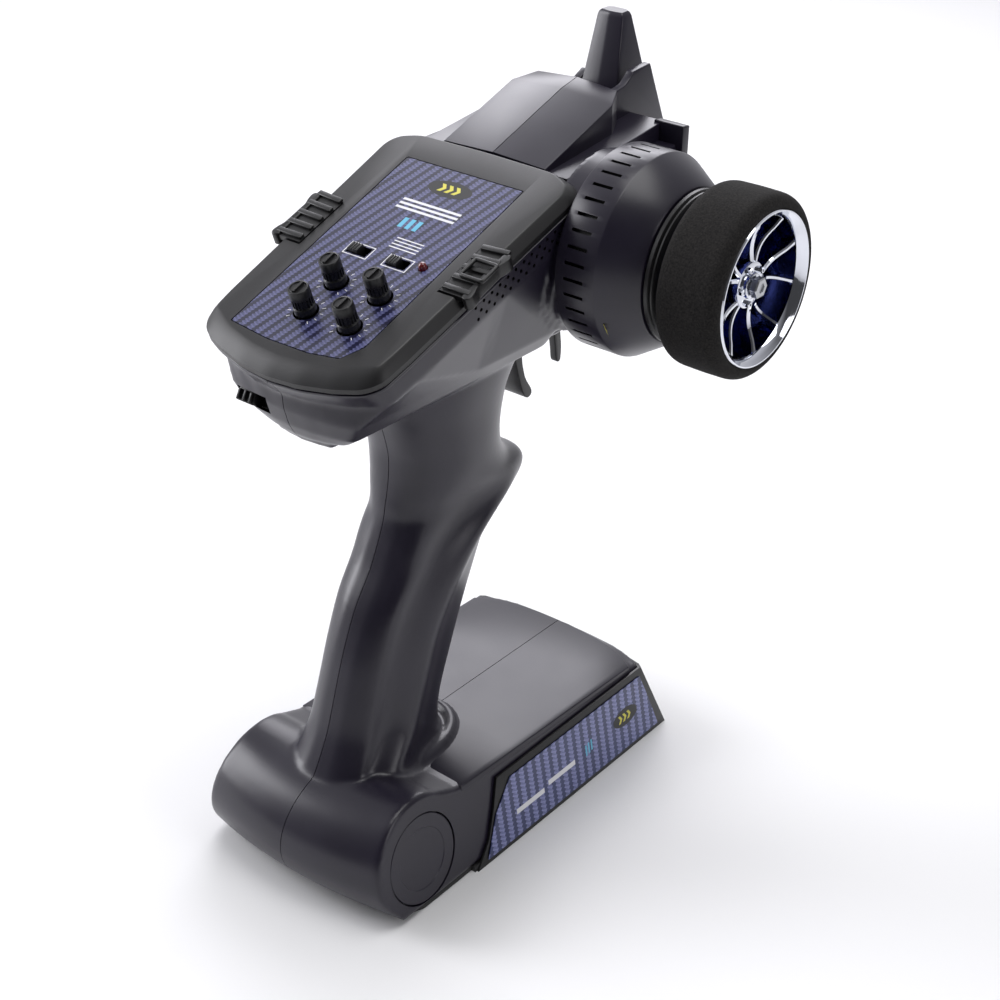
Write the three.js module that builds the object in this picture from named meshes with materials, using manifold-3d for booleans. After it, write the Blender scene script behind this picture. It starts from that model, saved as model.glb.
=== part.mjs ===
// Pistol-grip radio transmitter for remote-control models: a two-shell housing with a wheel on its right
// side, a finger trigger, a sloping control panel, a stub aerial and a battery base.
// Millimetres. X points to the user's right, Y forward and Z up. The origin lies on the flat underside,
// on the middle plane, straight below the axis of the round rear barrel of the base.
import * as THREE from 'three';
import { mergeVertices } from 'three/addons/utils/BufferGeometryUtils.js';
import ManifoldModule from 'manifold-3d';

const wasm = await ManifoldModule();
wasm.setup();

// ---------------------------------------------------------------- driving dimensions
const GAP = 0.3; // clearance between neighbouring pieces
const WALL = 2.4; // housing wall
const RAD = Math.PI / 180;

const BASE = {
  halfWidth: 44.2, // side plane at the height of the barrel axis
  lean: 0.19, // the side planes lean out this much per millimetre downwards
  barrelZ: 22.3, // height of the barrel axis
  barrelR: 24.2,
  bulge: 6.5, // how far the middle of the barrel bows to the rear
  rimZ: 2.8, // lower edge of the housing, just above the tray floor
  topRear: 38.4, // top plate at its rear and front, on the middle line
  topFront: 37.2,
  crownRear: 0.6, // how much lower the plate is at its sides
  crownFront: 2.6,
  frontY: 143.5,
  frontBow: 6.5, // the front corners stand back by this much
};

const TRAY = {
  footHalf: 49.8,
  footFront: 162.5,
  footRear: 27,
  topHalf: 43.7, // skirt at its upper edge
  topFront: 150,
  topRear: 45,
  skirtZ: 32,
  floor: 2.4,
  rearY: -13,
};
const DOOR = { half: 30, rearY: 34 };
const CELL = { r: 7.1, length: 50, count: 4, pitch: 15.1, firstY: 50, z: 12.2 };

const PANEL = { slope: 19.66 * RAD, y: -15.9, z: 227.4 }; // rear edge of the label, middle line
const LID = { half: 43, front: 113, thick: 6, face: 2.2 };
const LABEL = { half: 26.3, front: 96.8, thick: 0.7 };
const KNOB = { r: 4, height: 11, columns: [-4.6, 15], rows: [14.5, 30.6] };
const TOGGLE = { columns: [-8.4, 9.1], row: 47.4, slotX: 9, slotY: 4.6, capX: 4.4, capY: 3.8 };
const LED = { x: 19, row: 49, r: 1.6 };
const CLIP = { rear: 41.5, front: 65.5, inner: 31.5 };

const STEER = { y: 108.3, z: 235 }; // steering axis, along X
const DRUM = { from: 43.6, crease: 60.3, to: 74.2, r: 37.4, coneR: 28.4, slots: 40, slotX: 47.8, padR: 33 };
const TYRE = { from: 81.5, to: 106.4, r: 33.4, seatR: 27.2 };
const RIM = { to: 106.8, r: 28.2, spokes: 10, hubX: 101.5, hubR: 7 };
const SHAFT_R = 3;

const TRIGGER = { y: 107, z: 210, hubR: 9, halfWidth: 5.6, frontHalf: 1.7, play: 1 };
const BOSS = { r: 16.5, half: 21 };

// ---------------------------------------------------------------- solids and meshes
function toSolid(geometry) {
  const bare = geometry.clone();
  for (const name of Object.keys(bare.attributes)) {
    if (name !== 'position') bare.deleteAttribute(name);
  }
  const merged = mergeVertices(bare, 1e-4);
  const mesh = new wasm.Mesh({
    numProp: 3,
    vertProperties: new Float32Array(merged.attributes.position.array),
    triVerts: new Uint32Array(merged.index.array),
  });
  return new wasm.Manifold(mesh);
}

function toGeometry(solid) {
  const mesh = solid.getMesh();
  const geometry = new THREE.BufferGeometry();
  geometry.setAttribute('position', new THREE.BufferAttribute(new Float32Array(mesh.vertProperties), 3));
  geometry.setIndex(new THREE.BufferAttribute(new Uint32Array(mesh.triVerts), 1));
  return geometry;
}

const join = (...solids) => solids.reduce((all, next) => all.add(next));
const cut = (body, ...tools) => tools.reduce((left, tool) => left.subtract(tool), body);

// Faces over a flat outline, turned the way the outline runs. The outline is bowed very slightly, so that
// straight runs keep their points.
function capFaces(outline) {
  const bow = 1e-6;
  const bowed = outline.map((p) => new THREE.Vector2(p.x + bow * p.y * p.y, p.y - bow * p.x * p.x));
  const faces = THREE.ShapeUtils.triangulateShape(bowed, []);
  const area = (list) => faceArea(bowed, list);
  const turned = faces.reduce((sum, face) => sum + area(face), 0) > 0;
  return turned === THREE.ShapeUtils.area(bowed) > 0 ? faces : faces.map(([a, b, c]) => [c, b, a]);
}

function faceArea(points, [a, b, c]) {
  const [p, q, r] = [points[a], points[b], points[c]];
  return (q.x - p.x) * (r.y - p.y) - (r.x - p.x) * (q.y - p.y);
}

// A closed skin over rings with equal numbers of points; `flat` maps a ring point to its cap plane.
function loft(rings, flat = (p) => new THREE.Vector2(p.x, p.y)) {
  const count = rings[0].length;
  const points = rings.flat();
  const index = [];
  for (let i = 0; i + 1 < rings.length; i += 1) {
    for (let j = 0; j < count; j += 1) {
      const a = i * count + j;
      const b = i * count + ((j + 1) % count);
      index.push(a, b, b + count, a, b + count, a + count);
    }
  }
  const last = (rings.length - 1) * count;
  for (const [a, b, c] of capFaces(rings[0].map(flat))) index.push(c, b, a);
  for (const [a, b, c] of capFaces(rings[rings.length - 1].map(flat))) {
    index.push(last + a, last + b, last + c);
  }
  const geometry = new THREE.BufferGeometry();
  const numbers = points.flatMap((p) => p.toArray());
  geometry.setAttribute('position', new THREE.Float32BufferAttribute(numbers, 3));
  geometry.setIndex(index);
  if (signedVolume(geometry) < 0) {
    for (let i = 0; i < index.length; i += 3) [index[i], index[i + 1]] = [index[i + 1], index[i]];
    geometry.setIndex(index);
  }
  return toSolid(geometry);
}

function signedVolume(geometry) {
  const p = geometry.attributes.position;
  const [a, b, c] = [new THREE.Vector3(), new THREE.Vector3(), new THREE.Vector3()];
  let sum = 0;
  for (let i = 0; i < geometry.index.count; i += 3) {
    a.fromBufferAttribute(p, geometry.index.getX(i));
    b.fromBufferAttribute(p, geometry.index.getX(i + 1));
    c.fromBufferAttribute(p, geometry.index.getX(i + 2));
    sum += a.dot(b.cross(c));
  }
  return sum;
}

function box(x0, x1, y0, y1, z0, z1) {
  const geometry = new THREE.BoxGeometry(x1 - x0, y1 - y0, z1 - z0);
  return toSolid(geometry.translate((x0 + x1) / 2, (y0 + y1) / 2, (z0 + z1) / 2));
}

// A straight prism along X over a side outline of [y, z] points.
function slab(outline, x0, x1) {
  const ring = (x) => outline.map(([y, z]) => new THREE.Vector3(x, y, z));
  return loft([ring(x0), ring(x1)], (p) => new THREE.Vector2(p.y, p.z));
}

// A straight prism along Z over a plan outline of [x, y] points.
function plate(outline, z0, z1) {
  const ring = (z) => outline.map(([x, y]) => new THREE.Vector3(x, y, z));
  return loft([ring(z0), ring(z1)]);
}

function rodX(r, x0, x1, y, z, sides = 24) {
  const geometry = new THREE.CylinderGeometry(r, r, x1 - x0, sides);
  return toSolid(geometry.rotateZ(Math.PI / 2).translate((x0 + x1) / 2, y, z));
}

function rodZ(r, z0, z1, x, y, sides = 20) {
  const geometry = new THREE.CylinderGeometry(r, r, z1 - z0, sides);
  return toSolid(geometry.rotateX(Math.PI / 2).translate(x, y, (z0 + z1) / 2));
}

// A turned piece about X: `profile` is a list of [x, radius] that starts and ends on the axis or closes.
function turnedX(profile, y, z, sides = 48) {
  const points = profile.map(([x, r]) => new THREE.Vector2(r, x));
  const geometry = new THREE.LatheGeometry(points, sides);
  geometry.rotateZ(-Math.PI / 2).translate(0, y, z);
  const bare = geometry.clone();
  bare.deleteAttribute('normal');
  bare.deleteAttribute('uv');
  const merged = mergeVertices(bare, 1e-4);
  const index = Array.from(merged.index.array);
  const kept = [];
  for (let i = 0; i < index.length; i += 3) {
    const [a, b, c] = index.slice(i, i + 3);
    if (a !== b && b !== c && a !== c) kept.push(a, b, c);
  }
  merged.setIndex(kept);
  if (signedVolume(merged) < 0) {
    for (let i = 0; i < kept.length; i += 3) [kept[i], kept[i + 1]] = [kept[i + 1], kept[i]];
    merged.setIndex(kept);
  }
  return toSolid(merged);
}

// Moves a solid that was drawn flat, with its own X, Y and height, onto the sloping control panel.
const onPanel = new THREE.Matrix4()
  .makeRotationX(PANEL.slope)
  .setPosition(0, PANEL.y, PANEL.z);

function toPanel(solid) {
  return toSolid(toGeometry(solid).applyMatrix4(onPanel));
}

// ---------------------------------------------------------------- base
const sideX = (z) => BASE.halfWidth + (BASE.barrelZ - z) * BASE.lean;

// Side outline of the base housing at one station across its width, grown inwards by `inset`.
function baseOutline(across, inset) {
  const bow = 1 - across * across;
  const r = BASE.barrelR - inset;
  const edge = across ** 4;
  const rear = [];
  for (let i = 0; i <= 9; i += 1) {
    const angle = THREE.MathUtils.lerp(-52, -212, i / 9) * RAD;
    const y = r * Math.sin(angle) * 1;
    const z = BASE.barrelZ + r * -Math.cos(angle);
    rear.push([y - BASE.bulge * bow * Math.max(0, -Math.sin(angle)), z]);
  }
  const top = (f) => {
    const middle = THREE.MathUtils.lerp(BASE.topRear, BASE.topFront, f);
    return middle - edge ** 0.5 * THREE.MathUtils.lerp(BASE.crownRear, BASE.crownFront, f) - inset;
  };
  const front = BASE.frontY - BASE.frontBow * edge - inset;
  return [
    [6, inset ? -6 : BASE.rimZ],
    [-r * 0.62, inset ? -6 : BASE.rimZ],
    ...rear,
    [24, top(0) + 0.6],
    [31, top(0.05)],
    [90, top(0.6)],
    [front - 1.6, top(1)],
    [front, top(1) - 1.5],
    [front + 11.4, inset ? -6 : BASE.rimZ + 8],
    [front + 14.4, inset ? -6.5 : BASE.rimZ],
  ];
}

function baseBody(inset) {
  const half = inset ? [0.35, 0.7, 1] : [0.35, 0.7, 0.95, 1];
  const stations = [...half.map((u) => -u).reverse(), 0, ...half];
  const rings = stations.map((u) => {
    const softened = Math.abs(u) === 1 && !inset ? 1.2 : 0;
    return baseOutline(u, inset + softened).map(([y, z]) => {
      const low = inset ? z : Math.max(z, BASE.rimZ);
      return new THREE.Vector3(u * (sideX(low) - inset * 1.3), y, low);
    });
  });
  return loft(rings, (p) => new THREE.Vector2(p.y, p.z));
}

// ---------------------------------------------------------------- grip
// Height, rear edge, front edge and half width of the grip, from the foot up to the neck.
const GRIP = [
  [34, -20, 58, 27],
  [44, -12, 55, 24],
  [52, -7, 55, 21.5],
  [62, -2, 59, 20],
  [76, 2, 64.5, 19],
  [92, 7, 71, 19],
  [108, 14, 77, 19.5],
  [122, 23, 81, 20],
  [130, 26.5, 87, 20],
  [135, 28.5, 99, 19.5],
  [139, 30, 104, 19],
  [143, 30.8, 102.5, 19],
  [149, 32, 92, 19.8],
  [156, 33, 87, 20.4],
  [165, 33, 85, 21.2],
  [176, 30, 86, 22.4],
  [187, 26, 89, 24.4],
  [204, 22, 99, 28],
];
const GRIP_POINTS = 22;

function gripRing([z, rear, front, half], inset) {
  const ring = [];
  for (let i = 0; i < GRIP_POINTS; i += 1) {
    const angle = ((i + 0.5) / GRIP_POINTS) * 2 * Math.PI;
    const [c, s] = [Math.cos(angle), Math.sin(angle)];
    const y = (rear + front) / 2 - ((front - rear) / 2 - inset) * Math.sign(c) * Math.abs(c) ** 0.9;
    ring.push(new THREE.Vector3((half - inset) * Math.sign(s) * Math.abs(s) ** 0.8, y, z));
  }
  return ring;
}

function gripBody(inset) {
  const rows = inset ? GRIP.filter(([z]) => z !== 139 && z !== 135 && z !== 143) : GRIP;
  return loft(rows.map((row) => gripRing(row, inset)));
}

// ---------------------------------------------------------------- head
// Plan outline of the lid and the head under it, in panel axes, drawn in by `inset`, and by `tail` at the
// bowed rear end.
function headOutline(inset, tail = inset) {
  const front = LID.front - inset;
  const side = (y) => THREE.MathUtils.lerp(LID.half - 3, LID.half, y / (LID.front - 9)) - inset;
  const right = [
    [0, -14 + tail],
    [13, -12.8 + tail],
    [26, -9.4 + tail],
    [35.5 - inset * 0.8, -5.4 + tail],
    [side(0) - 0.4, 0.4 + tail * 0.4],
    [side(12), 12],
    [side(60), 60],
    [side(LID.front - 9), front - 9],
    [LID.half - inset - 2.5, front - 4],
    [30, front - 0.6],
    [0, front],
  ];
  const left = right.slice(1, -1).reverse().map(([x, y]) => [-x, y]);
  return [...right, ...left];
}

// Levels of the hull below its straight wall: height, half width, rear end and front end.
const HULL = [
  [204, 33, -20.3, 98],
  [197, 28.4, -18, 97],
  [192.4, 21.4, -15.2, 96],
  [190.4, 15.6, -12.8, 95],
];
// The rear wall is flatter than the lid's edge: its bow is this share of it, up to the corner.
const WALL_BOW = { share: 0.45, corner: 3 };

// The hull under the lid: a straight wall, then sides that run in to a crease and a narrow flat bottom.
function hullBody(inset, top) {
  const at = ([x, y], h) => new THREE.Vector3(x, y, h).applyMatrix4(onPanel);
  const upper = headOutline(inset + 0.6);
  const lower = headOutline(inset + 0.8, inset + 3.4);
  const rings = [upper.map((p) => at(p, top)), lower.map((p) => at(p, -15.4))];
  for (const [z, half, rear, front] of HULL) {
    rings.push(lower.map(([x, y]) => {
      const bow = y < WALL_BOW.corner + inset ? WALL_BOW.share : 1;
      const along = THREE.MathUtils.clamp((bow * (y + 12)) / (LID.front + 12), 0, 1);
      const across = (x / (LID.half - inset)) * (half - inset);
      return new THREE.Vector3(across, THREE.MathUtils.lerp(rear + inset, front - inset, along), z + inset);
    }));
  }
  return loft(rings.reverse());
}

// A low tab under the rear of the hull.
const TAB = { half: 13.5, rear: -11.4, front: 6, low: 187.4 };

function tabBody() {
  const ring = (z, half, rear) => [
    [-half, rear + 1.6], [0, rear], [half, rear + 1.6], [half, TAB.front], [-half, TAB.front],
  ].map(([x, y]) => new THREE.Vector3(x, y, z));
  return loft([ring(TAB.low, TAB.half - 5, TAB.rear + 3), ring(TAB.low + 1.6, TAB.half - 1, TAB.rear),
    ring(193, TAB.half + 0.6, TAB.rear - 0.6)]);
}

// Side outline of the front of the head, which carries the wheel housing and the trigger, and its plan.
const FRONT = [
  [70, 250], [90, 257], [138, 259], [152, 261], [160, 258], [176, 254], [178.5, 249], [174, 230],
  [160, 214], [141, 205], [124, 200], [99, 200], [86, 206], [74, 220],
];
const NOSE = [[41, 60], [41, 150], [34, 160], [20, 173], [8, 178.5]];
// Half width of the front of the head over its height.
const CHEEK = [[31, 196], [41, 232], [41, 300]];

function frontBody(inset) {
  const [cy, cz] = [118, 230];
  const outline = FRONT.map(([y, z]) => {
    const length = Math.hypot(y - cy, z - cz);
    const k = (length - inset * 1.25) / length;
    return [cy + (y - cy) * k, cz + (z - cz) * k];
  });
  const right = NOSE.map(([x, y]) => [x - inset, y - inset * 0.8]);
  const plan = [...right, ...right.slice().reverse().map(([x, y]) => [-x, y])];
  const cheek = CHEEK.map(([x, z]) => [x - inset * 1.1, z]);
  const section = [...cheek, ...cheek.slice().reverse().map(([x, z]) => [-x, z])];
  const ring = (y) => section.map(([x, z]) => new THREE.Vector3(x, y, z));
  const sides = loft([ring(50), ring(190)], (p) => new THREE.Vector2(p.x, p.z));
  return slab(outline, -60, 60).intersect(plate(plan, 150, 300)).intersect(sides);
}

// Hump over the front of the head: a sloping top in line with the lid, and a level top before the aerial.
const HUMP = [
  [84, 260, 23.2, 1], [91.4, 262.5, 23.2, 1.2], [131.6, 276.1, 23.2, 1.4], [141.4, 278.2, 18.2, 1.4],
];

function humpBody(inset) {
  const ring = ([y, z, half, crown]) => [
    [-half + inset - 0.6, 254], [half - inset + 0.6, 254], [half - inset, z - inset * 1.2],
    [0, z + crown - inset * 1.2], [-half + inset, z - inset * 1.2],
  ].map(([x, pz]) => new THREE.Vector3(x, y + (y < 100 ? -inset * 3 : -inset), pz));
  return loft(HUMP.map(ring), (p) => new THREE.Vector2(p.x, p.z));
}

// The low shelves on both sides of the hump, and the flange in front of the wheel housing.
const SHELF = { half: 32.6, rear: [84, 260], front: [152, 267], under: 252 };

function shelfBody() {
  const ring = ([y, z]) => [
    [-SHELF.half, SHELF.under], [SHELF.half, SHELF.under], [SHELF.half, z + 0.3], [-SHELF.half, z + 0.3],
  ].map(([x, pz]) => new THREE.Vector3(x, y, pz));
  return loft([ring(SHELF.rear), ring(SHELF.front)], (p) => new THREE.Vector2(p.x, p.z));
}

function flangeBody() {
  return slab([[149, 252], [149, 268], [153.4, 267.4], [153.4, 252]], 30, 43);
}

const EAR = { inner: 14.4, outer: 17.6 };
const EAR_OUTLINE = [
  [138, 256], [138, 277.4], [143.4, 277.8], [147.6, 278.6], [150.6, 280.6], [152, 282.4], [163.4, 283.2],
  [174.6, 259], [172, 250], [150, 250],
];
// The left ear is low, with a small tip beside the foot of the aerial.
const LOW_EAR_OUTLINE = [
  [138, 256], [138, 276.6], [143.4, 275.4], [150, 271.6], [161, 269.6], [164, 271.2], [168.5, 273.4],
  [171, 271], [174.6, 259], [172, 250], [150, 250],
];

function earBody(side) {
  const [a, b] = [side * EAR.inner, side * EAR.outer];
  return slab(side > 0 ? EAR_OUTLINE : LOW_EAR_OUTLINE, Math.min(a, b), Math.max(a, b));
}

// The bridge between the ears that carries the foot of the aerial.
const BRIDGE = { top: 266, rear: 138, corner: 169, front: 178, half: 9.4 };

function bridgeBody() {
  const wide = EAR.inner + 0.6;
  return plate([
    [-wide, BRIDGE.rear], [wide, BRIDGE.rear], [wide, BRIDGE.corner], [BRIDGE.half, BRIDGE.front],
    [-BRIDGE.half, BRIDGE.front], [-wide, BRIDGE.corner],
  ], 248, BRIDGE.top);
}

function bossBody(r, half) {
  return rodX(r, -half, half, TRIGGER.y, TRIGGER.z - 1.5, 32);
}

// Disc on the right side that the wheel housing is seated on.
function wheelPad() {
  return rodX(DRUM.padR, 34, DRUM.from - GAP, STEER.y, STEER.z, 40);
}

// Inner web that carries the steering sensor, lugs that carry the trigger pin, and rests for the boards.
const WEB = { from: 23.6, to: 26 };
const LUG = { inner: 6.9, leftOuter: 10.4, rightInner: 11.2, rightOuter: 14.4 };

function innerFittings() {
  const lug = [[100, 196], [114, 196], [113, 213], [107, 216], [101, 212]];
  return [
    slab([[97, 200], [119, 200], [119, 258], [97, 258]], WEB.from, WEB.to),
    slab(lug, -LUG.leftOuter, -LUG.inner),
    slab(lug, LUG.rightInner, LUG.rightOuter),
    box(-41, 41, 104, 106, 245, 248.6), box(-41, 41, 128, 130, 245, 248.6),
    toPanel(box(-42, -31, 8, 92, BOARD.h - 5, BOARD.h - BOARD.thick - GAP)),
    toPanel(box(31, 42, 8, 92, BOARD.h - 5, BOARD.h - BOARD.thick - GAP)),
  ];
}

// Screws across the two housing shells, as [y, z], and from below through the tray, as [x, y].
const SHELL_SCREWS = [[14, 206], [132, 222], [52, 112], [36, 66]];
const SCREW = { headR: 2.9, shankR: 1.3, bossR: 4.6, headX: -6, tipX: 9 };
const TRAY_SCREWS = [[-36.5, 22], [36.5, 22], [-36.5, 134], [36.5, 134]];

function housing() {
  const outer = join(
    baseBody(0), gripBody(0), hullBody(0, -LID.thick - GAP), tabBody(), frontBody(0), humpBody(0),
    shelfBody(), flangeBody(), earBody(1), earBody(-1), bridgeBody(), bossBody(BOSS.r, BOSS.half),
    wheelPad(),
  );
  const hollow = join(
    baseBody(WALL), gripBody(WALL + 0.4), hullBody(WALL, 6), frontBody(WALL), humpBody(WALL),
  );
  const bosses = SHELL_SCREWS.map(([y, z]) => rodX(SCREW.bossR, -48, 48, y, z, 16).intersect(outer));
  const posts = TRAY_SCREWS.map(([x, y]) => rodZ(4.4, BASE.rimZ + 1.4, 37, x, y, 12).intersect(outer));
  const lidSpace = toPanel(box(-60, 60, -30, LID.front + GAP, -LID.thick - GAP, 30));
  let shell = cut(outer, hollow, lidSpace);
  const fittings = innerFittings().map((solid) => solid.intersect(outer));
  shell = join(shell, ...bosses, ...posts, ...fittings);
  const holes = [
    ...SHELL_SCREWS.map(([y, z]) => rodX(SCREW.shankR + GAP, -50, SCREW.tipX + 1, y, z, 12)),
    ...SHELL_SCREWS.map(([y, z]) => rodX(SCREW.headR + GAP, -60, SCREW.headX, y, z, 16)),
    ...TRAY_SCREWS.map(([x, y]) => rodZ(SCREW.shankR + GAP, 0, 14, x, y, 12)),
    capDisc(CAP.r + GAP, -CAP.depth, 12), mirrored(capDisc(CAP.r + GAP, -CAP.depth, 12)),
    rodX(9, 30, 60, STEER.y, STEER.z, 32),
    rodX(SHAFT_R + GAP, WEB.from - 1, WEB.to + 1, STEER.y, STEER.z, 24),
    rodX(2 + GAP, -10.3, 14.2, TRIGGER.y, TRIGGER.z, 16),
    triggerSpace(),
    aerialSocket(),
    powerSlot(),
  ];
  return cut(shell, ...holes);
}

// Round caps let into the ends of the barrel, square to its leaning end faces.
const CAP = { r: 18.1, z: 21.3, depth: 2, proud: -0.2 };

function capDisc(r, low, high) {
  const geometry = new THREE.CylinderGeometry(r, r, high - low, 40);
  geometry.rotateZ(Math.PI / 2).translate((low + high) / 2, 0, 0).rotateY(-Math.atan(BASE.lean));
  return toSolid(geometry.translate(sideX(CAP.z), 0, CAP.z));
}

function endCap(side) {
  const cap = capDisc(CAP.r, -CAP.depth + GAP, CAP.proud);
  return side > 0 ? cap : mirrored(cap);
}

function mirrored(solid) {
  const geometry = toGeometry(solid).scale(-1, 1, 1);
  const index = Array.from(geometry.index.array);
  for (let i = 0; i < index.length; i += 3) [index[i], index[i + 1]] = [index[i + 1], index[i]];
  geometry.setIndex(index);
  return toSolid(geometry);
}

// ---------------------------------------------------------------- trigger
function triggerSpace() {
  const w = TRIGGER.halfWidth + TRIGGER.play;
  const hub = rodX(TRIGGER.hubR + 2.2, -w, w, TRIGGER.y, TRIGGER.z, 28);
  const mouth = slab([
    [86.8, 178], [86.8, 192], [90, 206], [97, 213], [119, 213], [127, 207], [127, 178],
  ], -w, w);
  const narrow = TRIGGER.frontHalf + TRIGGER.play;
  const sweep = slab([[112, 186], [112, 210], [136, 199.6], [136, 186]], -narrow, narrow);
  return join(hub, mouth, sweep);
}

// Side outlines of the trigger's two blades: a wide rear one for the finger's front and a thin front one.
const REAR_BLADE = [
  [99, 205], [97.2, 196], [98, 188], [99.6, 182.5], [102.2, 174], [105, 165.6], [107, 161.4],
  [109.4, 160], [111.6, 161.2], [111.4, 163.4], [107.2, 169.4], [105.2, 176], [104.2, 184], [105, 192],
  [108, 198], [113, 204],
];
const FRONT_BLADE = [
  [110, 197], [120, 192.6], [127.4, 186], [130.6, 178.4], [132, 171], [132.6, 166.2], [134, 165.2],
  [135.4, 166], [135.6, 172], [134.4, 180], [131.6, 189], [124, 197], [112, 203],
];

function trigger() {
  const w = TRIGGER.halfWidth;
  const hub = rodX(TRIGGER.hubR, -w, w, TRIGGER.y, TRIGGER.z, 28);
  const blades = [slab(REAR_BLADE, -w, w), slab(FRONT_BLADE, -TRIGGER.frontHalf, TRIGGER.frontHalf)];
  return cut(join(hub, ...blades), rodX(2 + GAP, -20, 20, TRIGGER.y, TRIGGER.z, 16));
}

// ---------------------------------------------------------------- aerial
const AERIAL = { foot: 266.4, top: 300 };
// Height, rear ridge, front and half width of the fin.
const FIN = [
  [AERIAL.foot, 153.4, 176.4, 8.8], [275, 155.2, 176, 8.1], [298.6, 160, 168, 5.9],
  [AERIAL.top, 161.4, 166.8, 4.6],
];
const AERIAL_Y = 165;

function aerialFin() {
  const ring = ([z, rear, front, half]) => [
    [-half, rear + 0.8], [0, rear], [half, rear + 0.8], [half, front], [-half, front],
  ].map(([x, y]) => new THREE.Vector3(x, y, z));
  return cut(loft(FIN.map(ring)), rodZ(2.4, AERIAL.foot - 2, AERIAL.top - 6, 0, AERIAL_Y, 16));
}

function aerialSocket() {
  return rodZ(2.4, 240, 300, 0, AERIAL_Y, 16);
}

// ---------------------------------------------------------------- lid and controls
const knobSpots = KNOB.rows.flatMap((row) => KNOB.columns.map((column) => [column, row]));

function ringSolid(rows) {
  return loft(rows.map(([inset, tail, h]) => headOutline(inset, tail)
    .map(([x, y]) => new THREE.Vector3(x, y, h))));
}

function lid() {
  const skin = ringSolid([[0.3, 0.6, -LID.thick], [0, 0.4, -3.6], [0.9, 2.6, -1.3], [3, 7.4, 0]]);
  const under = ringSolid([[3, 4, -LID.thick - 1], [3.4, 7, -LID.face - 0.8]]);
  const seat = plate(labelOutline(-GAP), -LABEL.thick - 0.1, 5);
  return toPanel(cut(skin, under, seat, ...controlHoles(-8, 8), ...clipSeats()));
}

function labelOutline(inset) {
  const [w, front] = [LABEL.half - inset, LABEL.front - inset];
  return [
    [-w, inset], [-8, -1.8 + inset], [10, -1.4 + inset], [22, 1 + inset], [w, 9], [w, front], [-w, front],
  ];
}

function controlHoles(low, high) {
  const wells = knobSpots.map(([x, y]) => rodZ(KNOB.r + 0.6, low, high, x, y, 24));
  const slots = TOGGLE.columns.map((x) => box(
    x - TOGGLE.slotX / 2, x + TOGGLE.slotX / 2, TOGGLE.row - TOGGLE.slotY / 2, TOGGLE.row + TOGGLE.slotY / 2,
    low, high));
  return [...wells, ...slots, rodZ(LED.r + GAP, low, high, LED.x, LED.row, 16)];
}

function label() {
  return toPanel(cut(plate(labelOutline(0.1), -LABEL.thick + 0.2, 0), ...controlHoles(-8, 8)));
}

function knob([x, y]) {
  const ribs = 10;
  const outline = [];
  for (let i = 0; i < ribs * 2; i += 1) {
    const angle = (i / (ribs * 2)) * 2 * Math.PI;
    const r = i % 2 ? KNOB.r - 0.45 : KNOB.r;
    outline.push([x + r * Math.cos(angle), y + r * Math.sin(angle)]);
  }
  const stem = rodZ(KNOB.r - 1, -3.6, 1, x, y, 16);
  const body = plate(outline, 0.6, KNOB.height - 2);
  const crown = rodZ(KNOB.r - 0.8, KNOB.height - 2.6, KNOB.height, x, y, 20);
  const slot = box(x - 0.6, x + 0.6, y - 3, y + 5, KNOB.height - 1.2, KNOB.height + 1);
  return toPanel(cut(join(stem, body, crown), slot));
}

function toggle(x) {
  const cap = box(x - TOGGLE.capX / 2 - 1.4, x + TOGGLE.capX / 2 - 1.4, TOGGLE.row - TOGGLE.capY / 2,
    TOGGLE.row + TOGGLE.capY / 2, -3, 0.9);
  const nib = box(x - 2.2, x - 0.6, TOGGLE.row - 1.5, TOGGLE.row + 1.5, 0.5, 1.7);
  return toPanel(join(cap, nib));
}

function clipSeats() {
  return [1, -1].map((side) => {
    const [a, b] = [side * (CLIP.inner - GAP), side * 60];
    return box(Math.min(a, b), Math.max(a, b), CLIP.rear - GAP, CLIP.front + GAP, -1.9, 10);
  });
}

// A ribbed snap clip that hooks over one edge of the lid.
function clip(side) {
  const [inner, edge] = [CLIP.inner, LID.half - 0.8];
  const spine = box(inner, edge, CLIP.rear, CLIP.front, -1.6, -0.4);
  const ribs = [];
  const count = 6;
  for (let i = 0; i < count; i += 1) {
    const y = CLIP.rear + 0.6 + (i * (CLIP.front - CLIP.rear - 3.4)) / (count - 1);
    ribs.push(box(inner + 0.4, edge + 0.5, y, y + 2.2, -1, 1));
  }
  const drawn = join(spine, ...ribs);
  return toPanel(side > 0 ? drawn : mirrored(drawn));
}

function ledLens() {
  const { x, row, r } = LED;
  return toPanel(join(rodZ(r, -3, 0.2, x, row, 16), rodZ(r - 0.5, 0, 0.7, x, row, 16)));
}

// ---------------------------------------------------------------- power switch
const POWER = { x: -17.2, y: -16.5, z: 200.8, halfLong: 8.6, halfHigh: 2.6, tilt: 27 * RAD };
const onRearWall = new THREE.Matrix4().makeRotationX(-POWER.tilt).setPosition(POWER.x, POWER.y, POWER.z);
const toRearWall = (solid) => toSolid(toGeometry(solid).applyMatrix4(onRearWall));

function powerSlot() {
  return toRearWall(box(-POWER.halfLong, POWER.halfLong, -6, 9, -POWER.halfHigh, POWER.halfHigh));
}

function powerSlider() {
  const [long, high] = [4, POWER.halfHigh - GAP];
  const block = box(-long - 3.6, long - 3.6, 0.4, 5.6, -high, high);
  const ribs = [-6.4, -3.6, -0.8].map((x) => box(x - 0.5, x + 0.5, -0.8, 1, -high + 0.4, high - 0.4));
  return toRearWall(join(block, ...ribs));
}

function powerSwitch() {
  return toRearWall(box(-8, 8, 5.6 + GAP, 8.7, -POWER.halfHigh + GAP, POWER.halfHigh - GAP));
}

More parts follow.
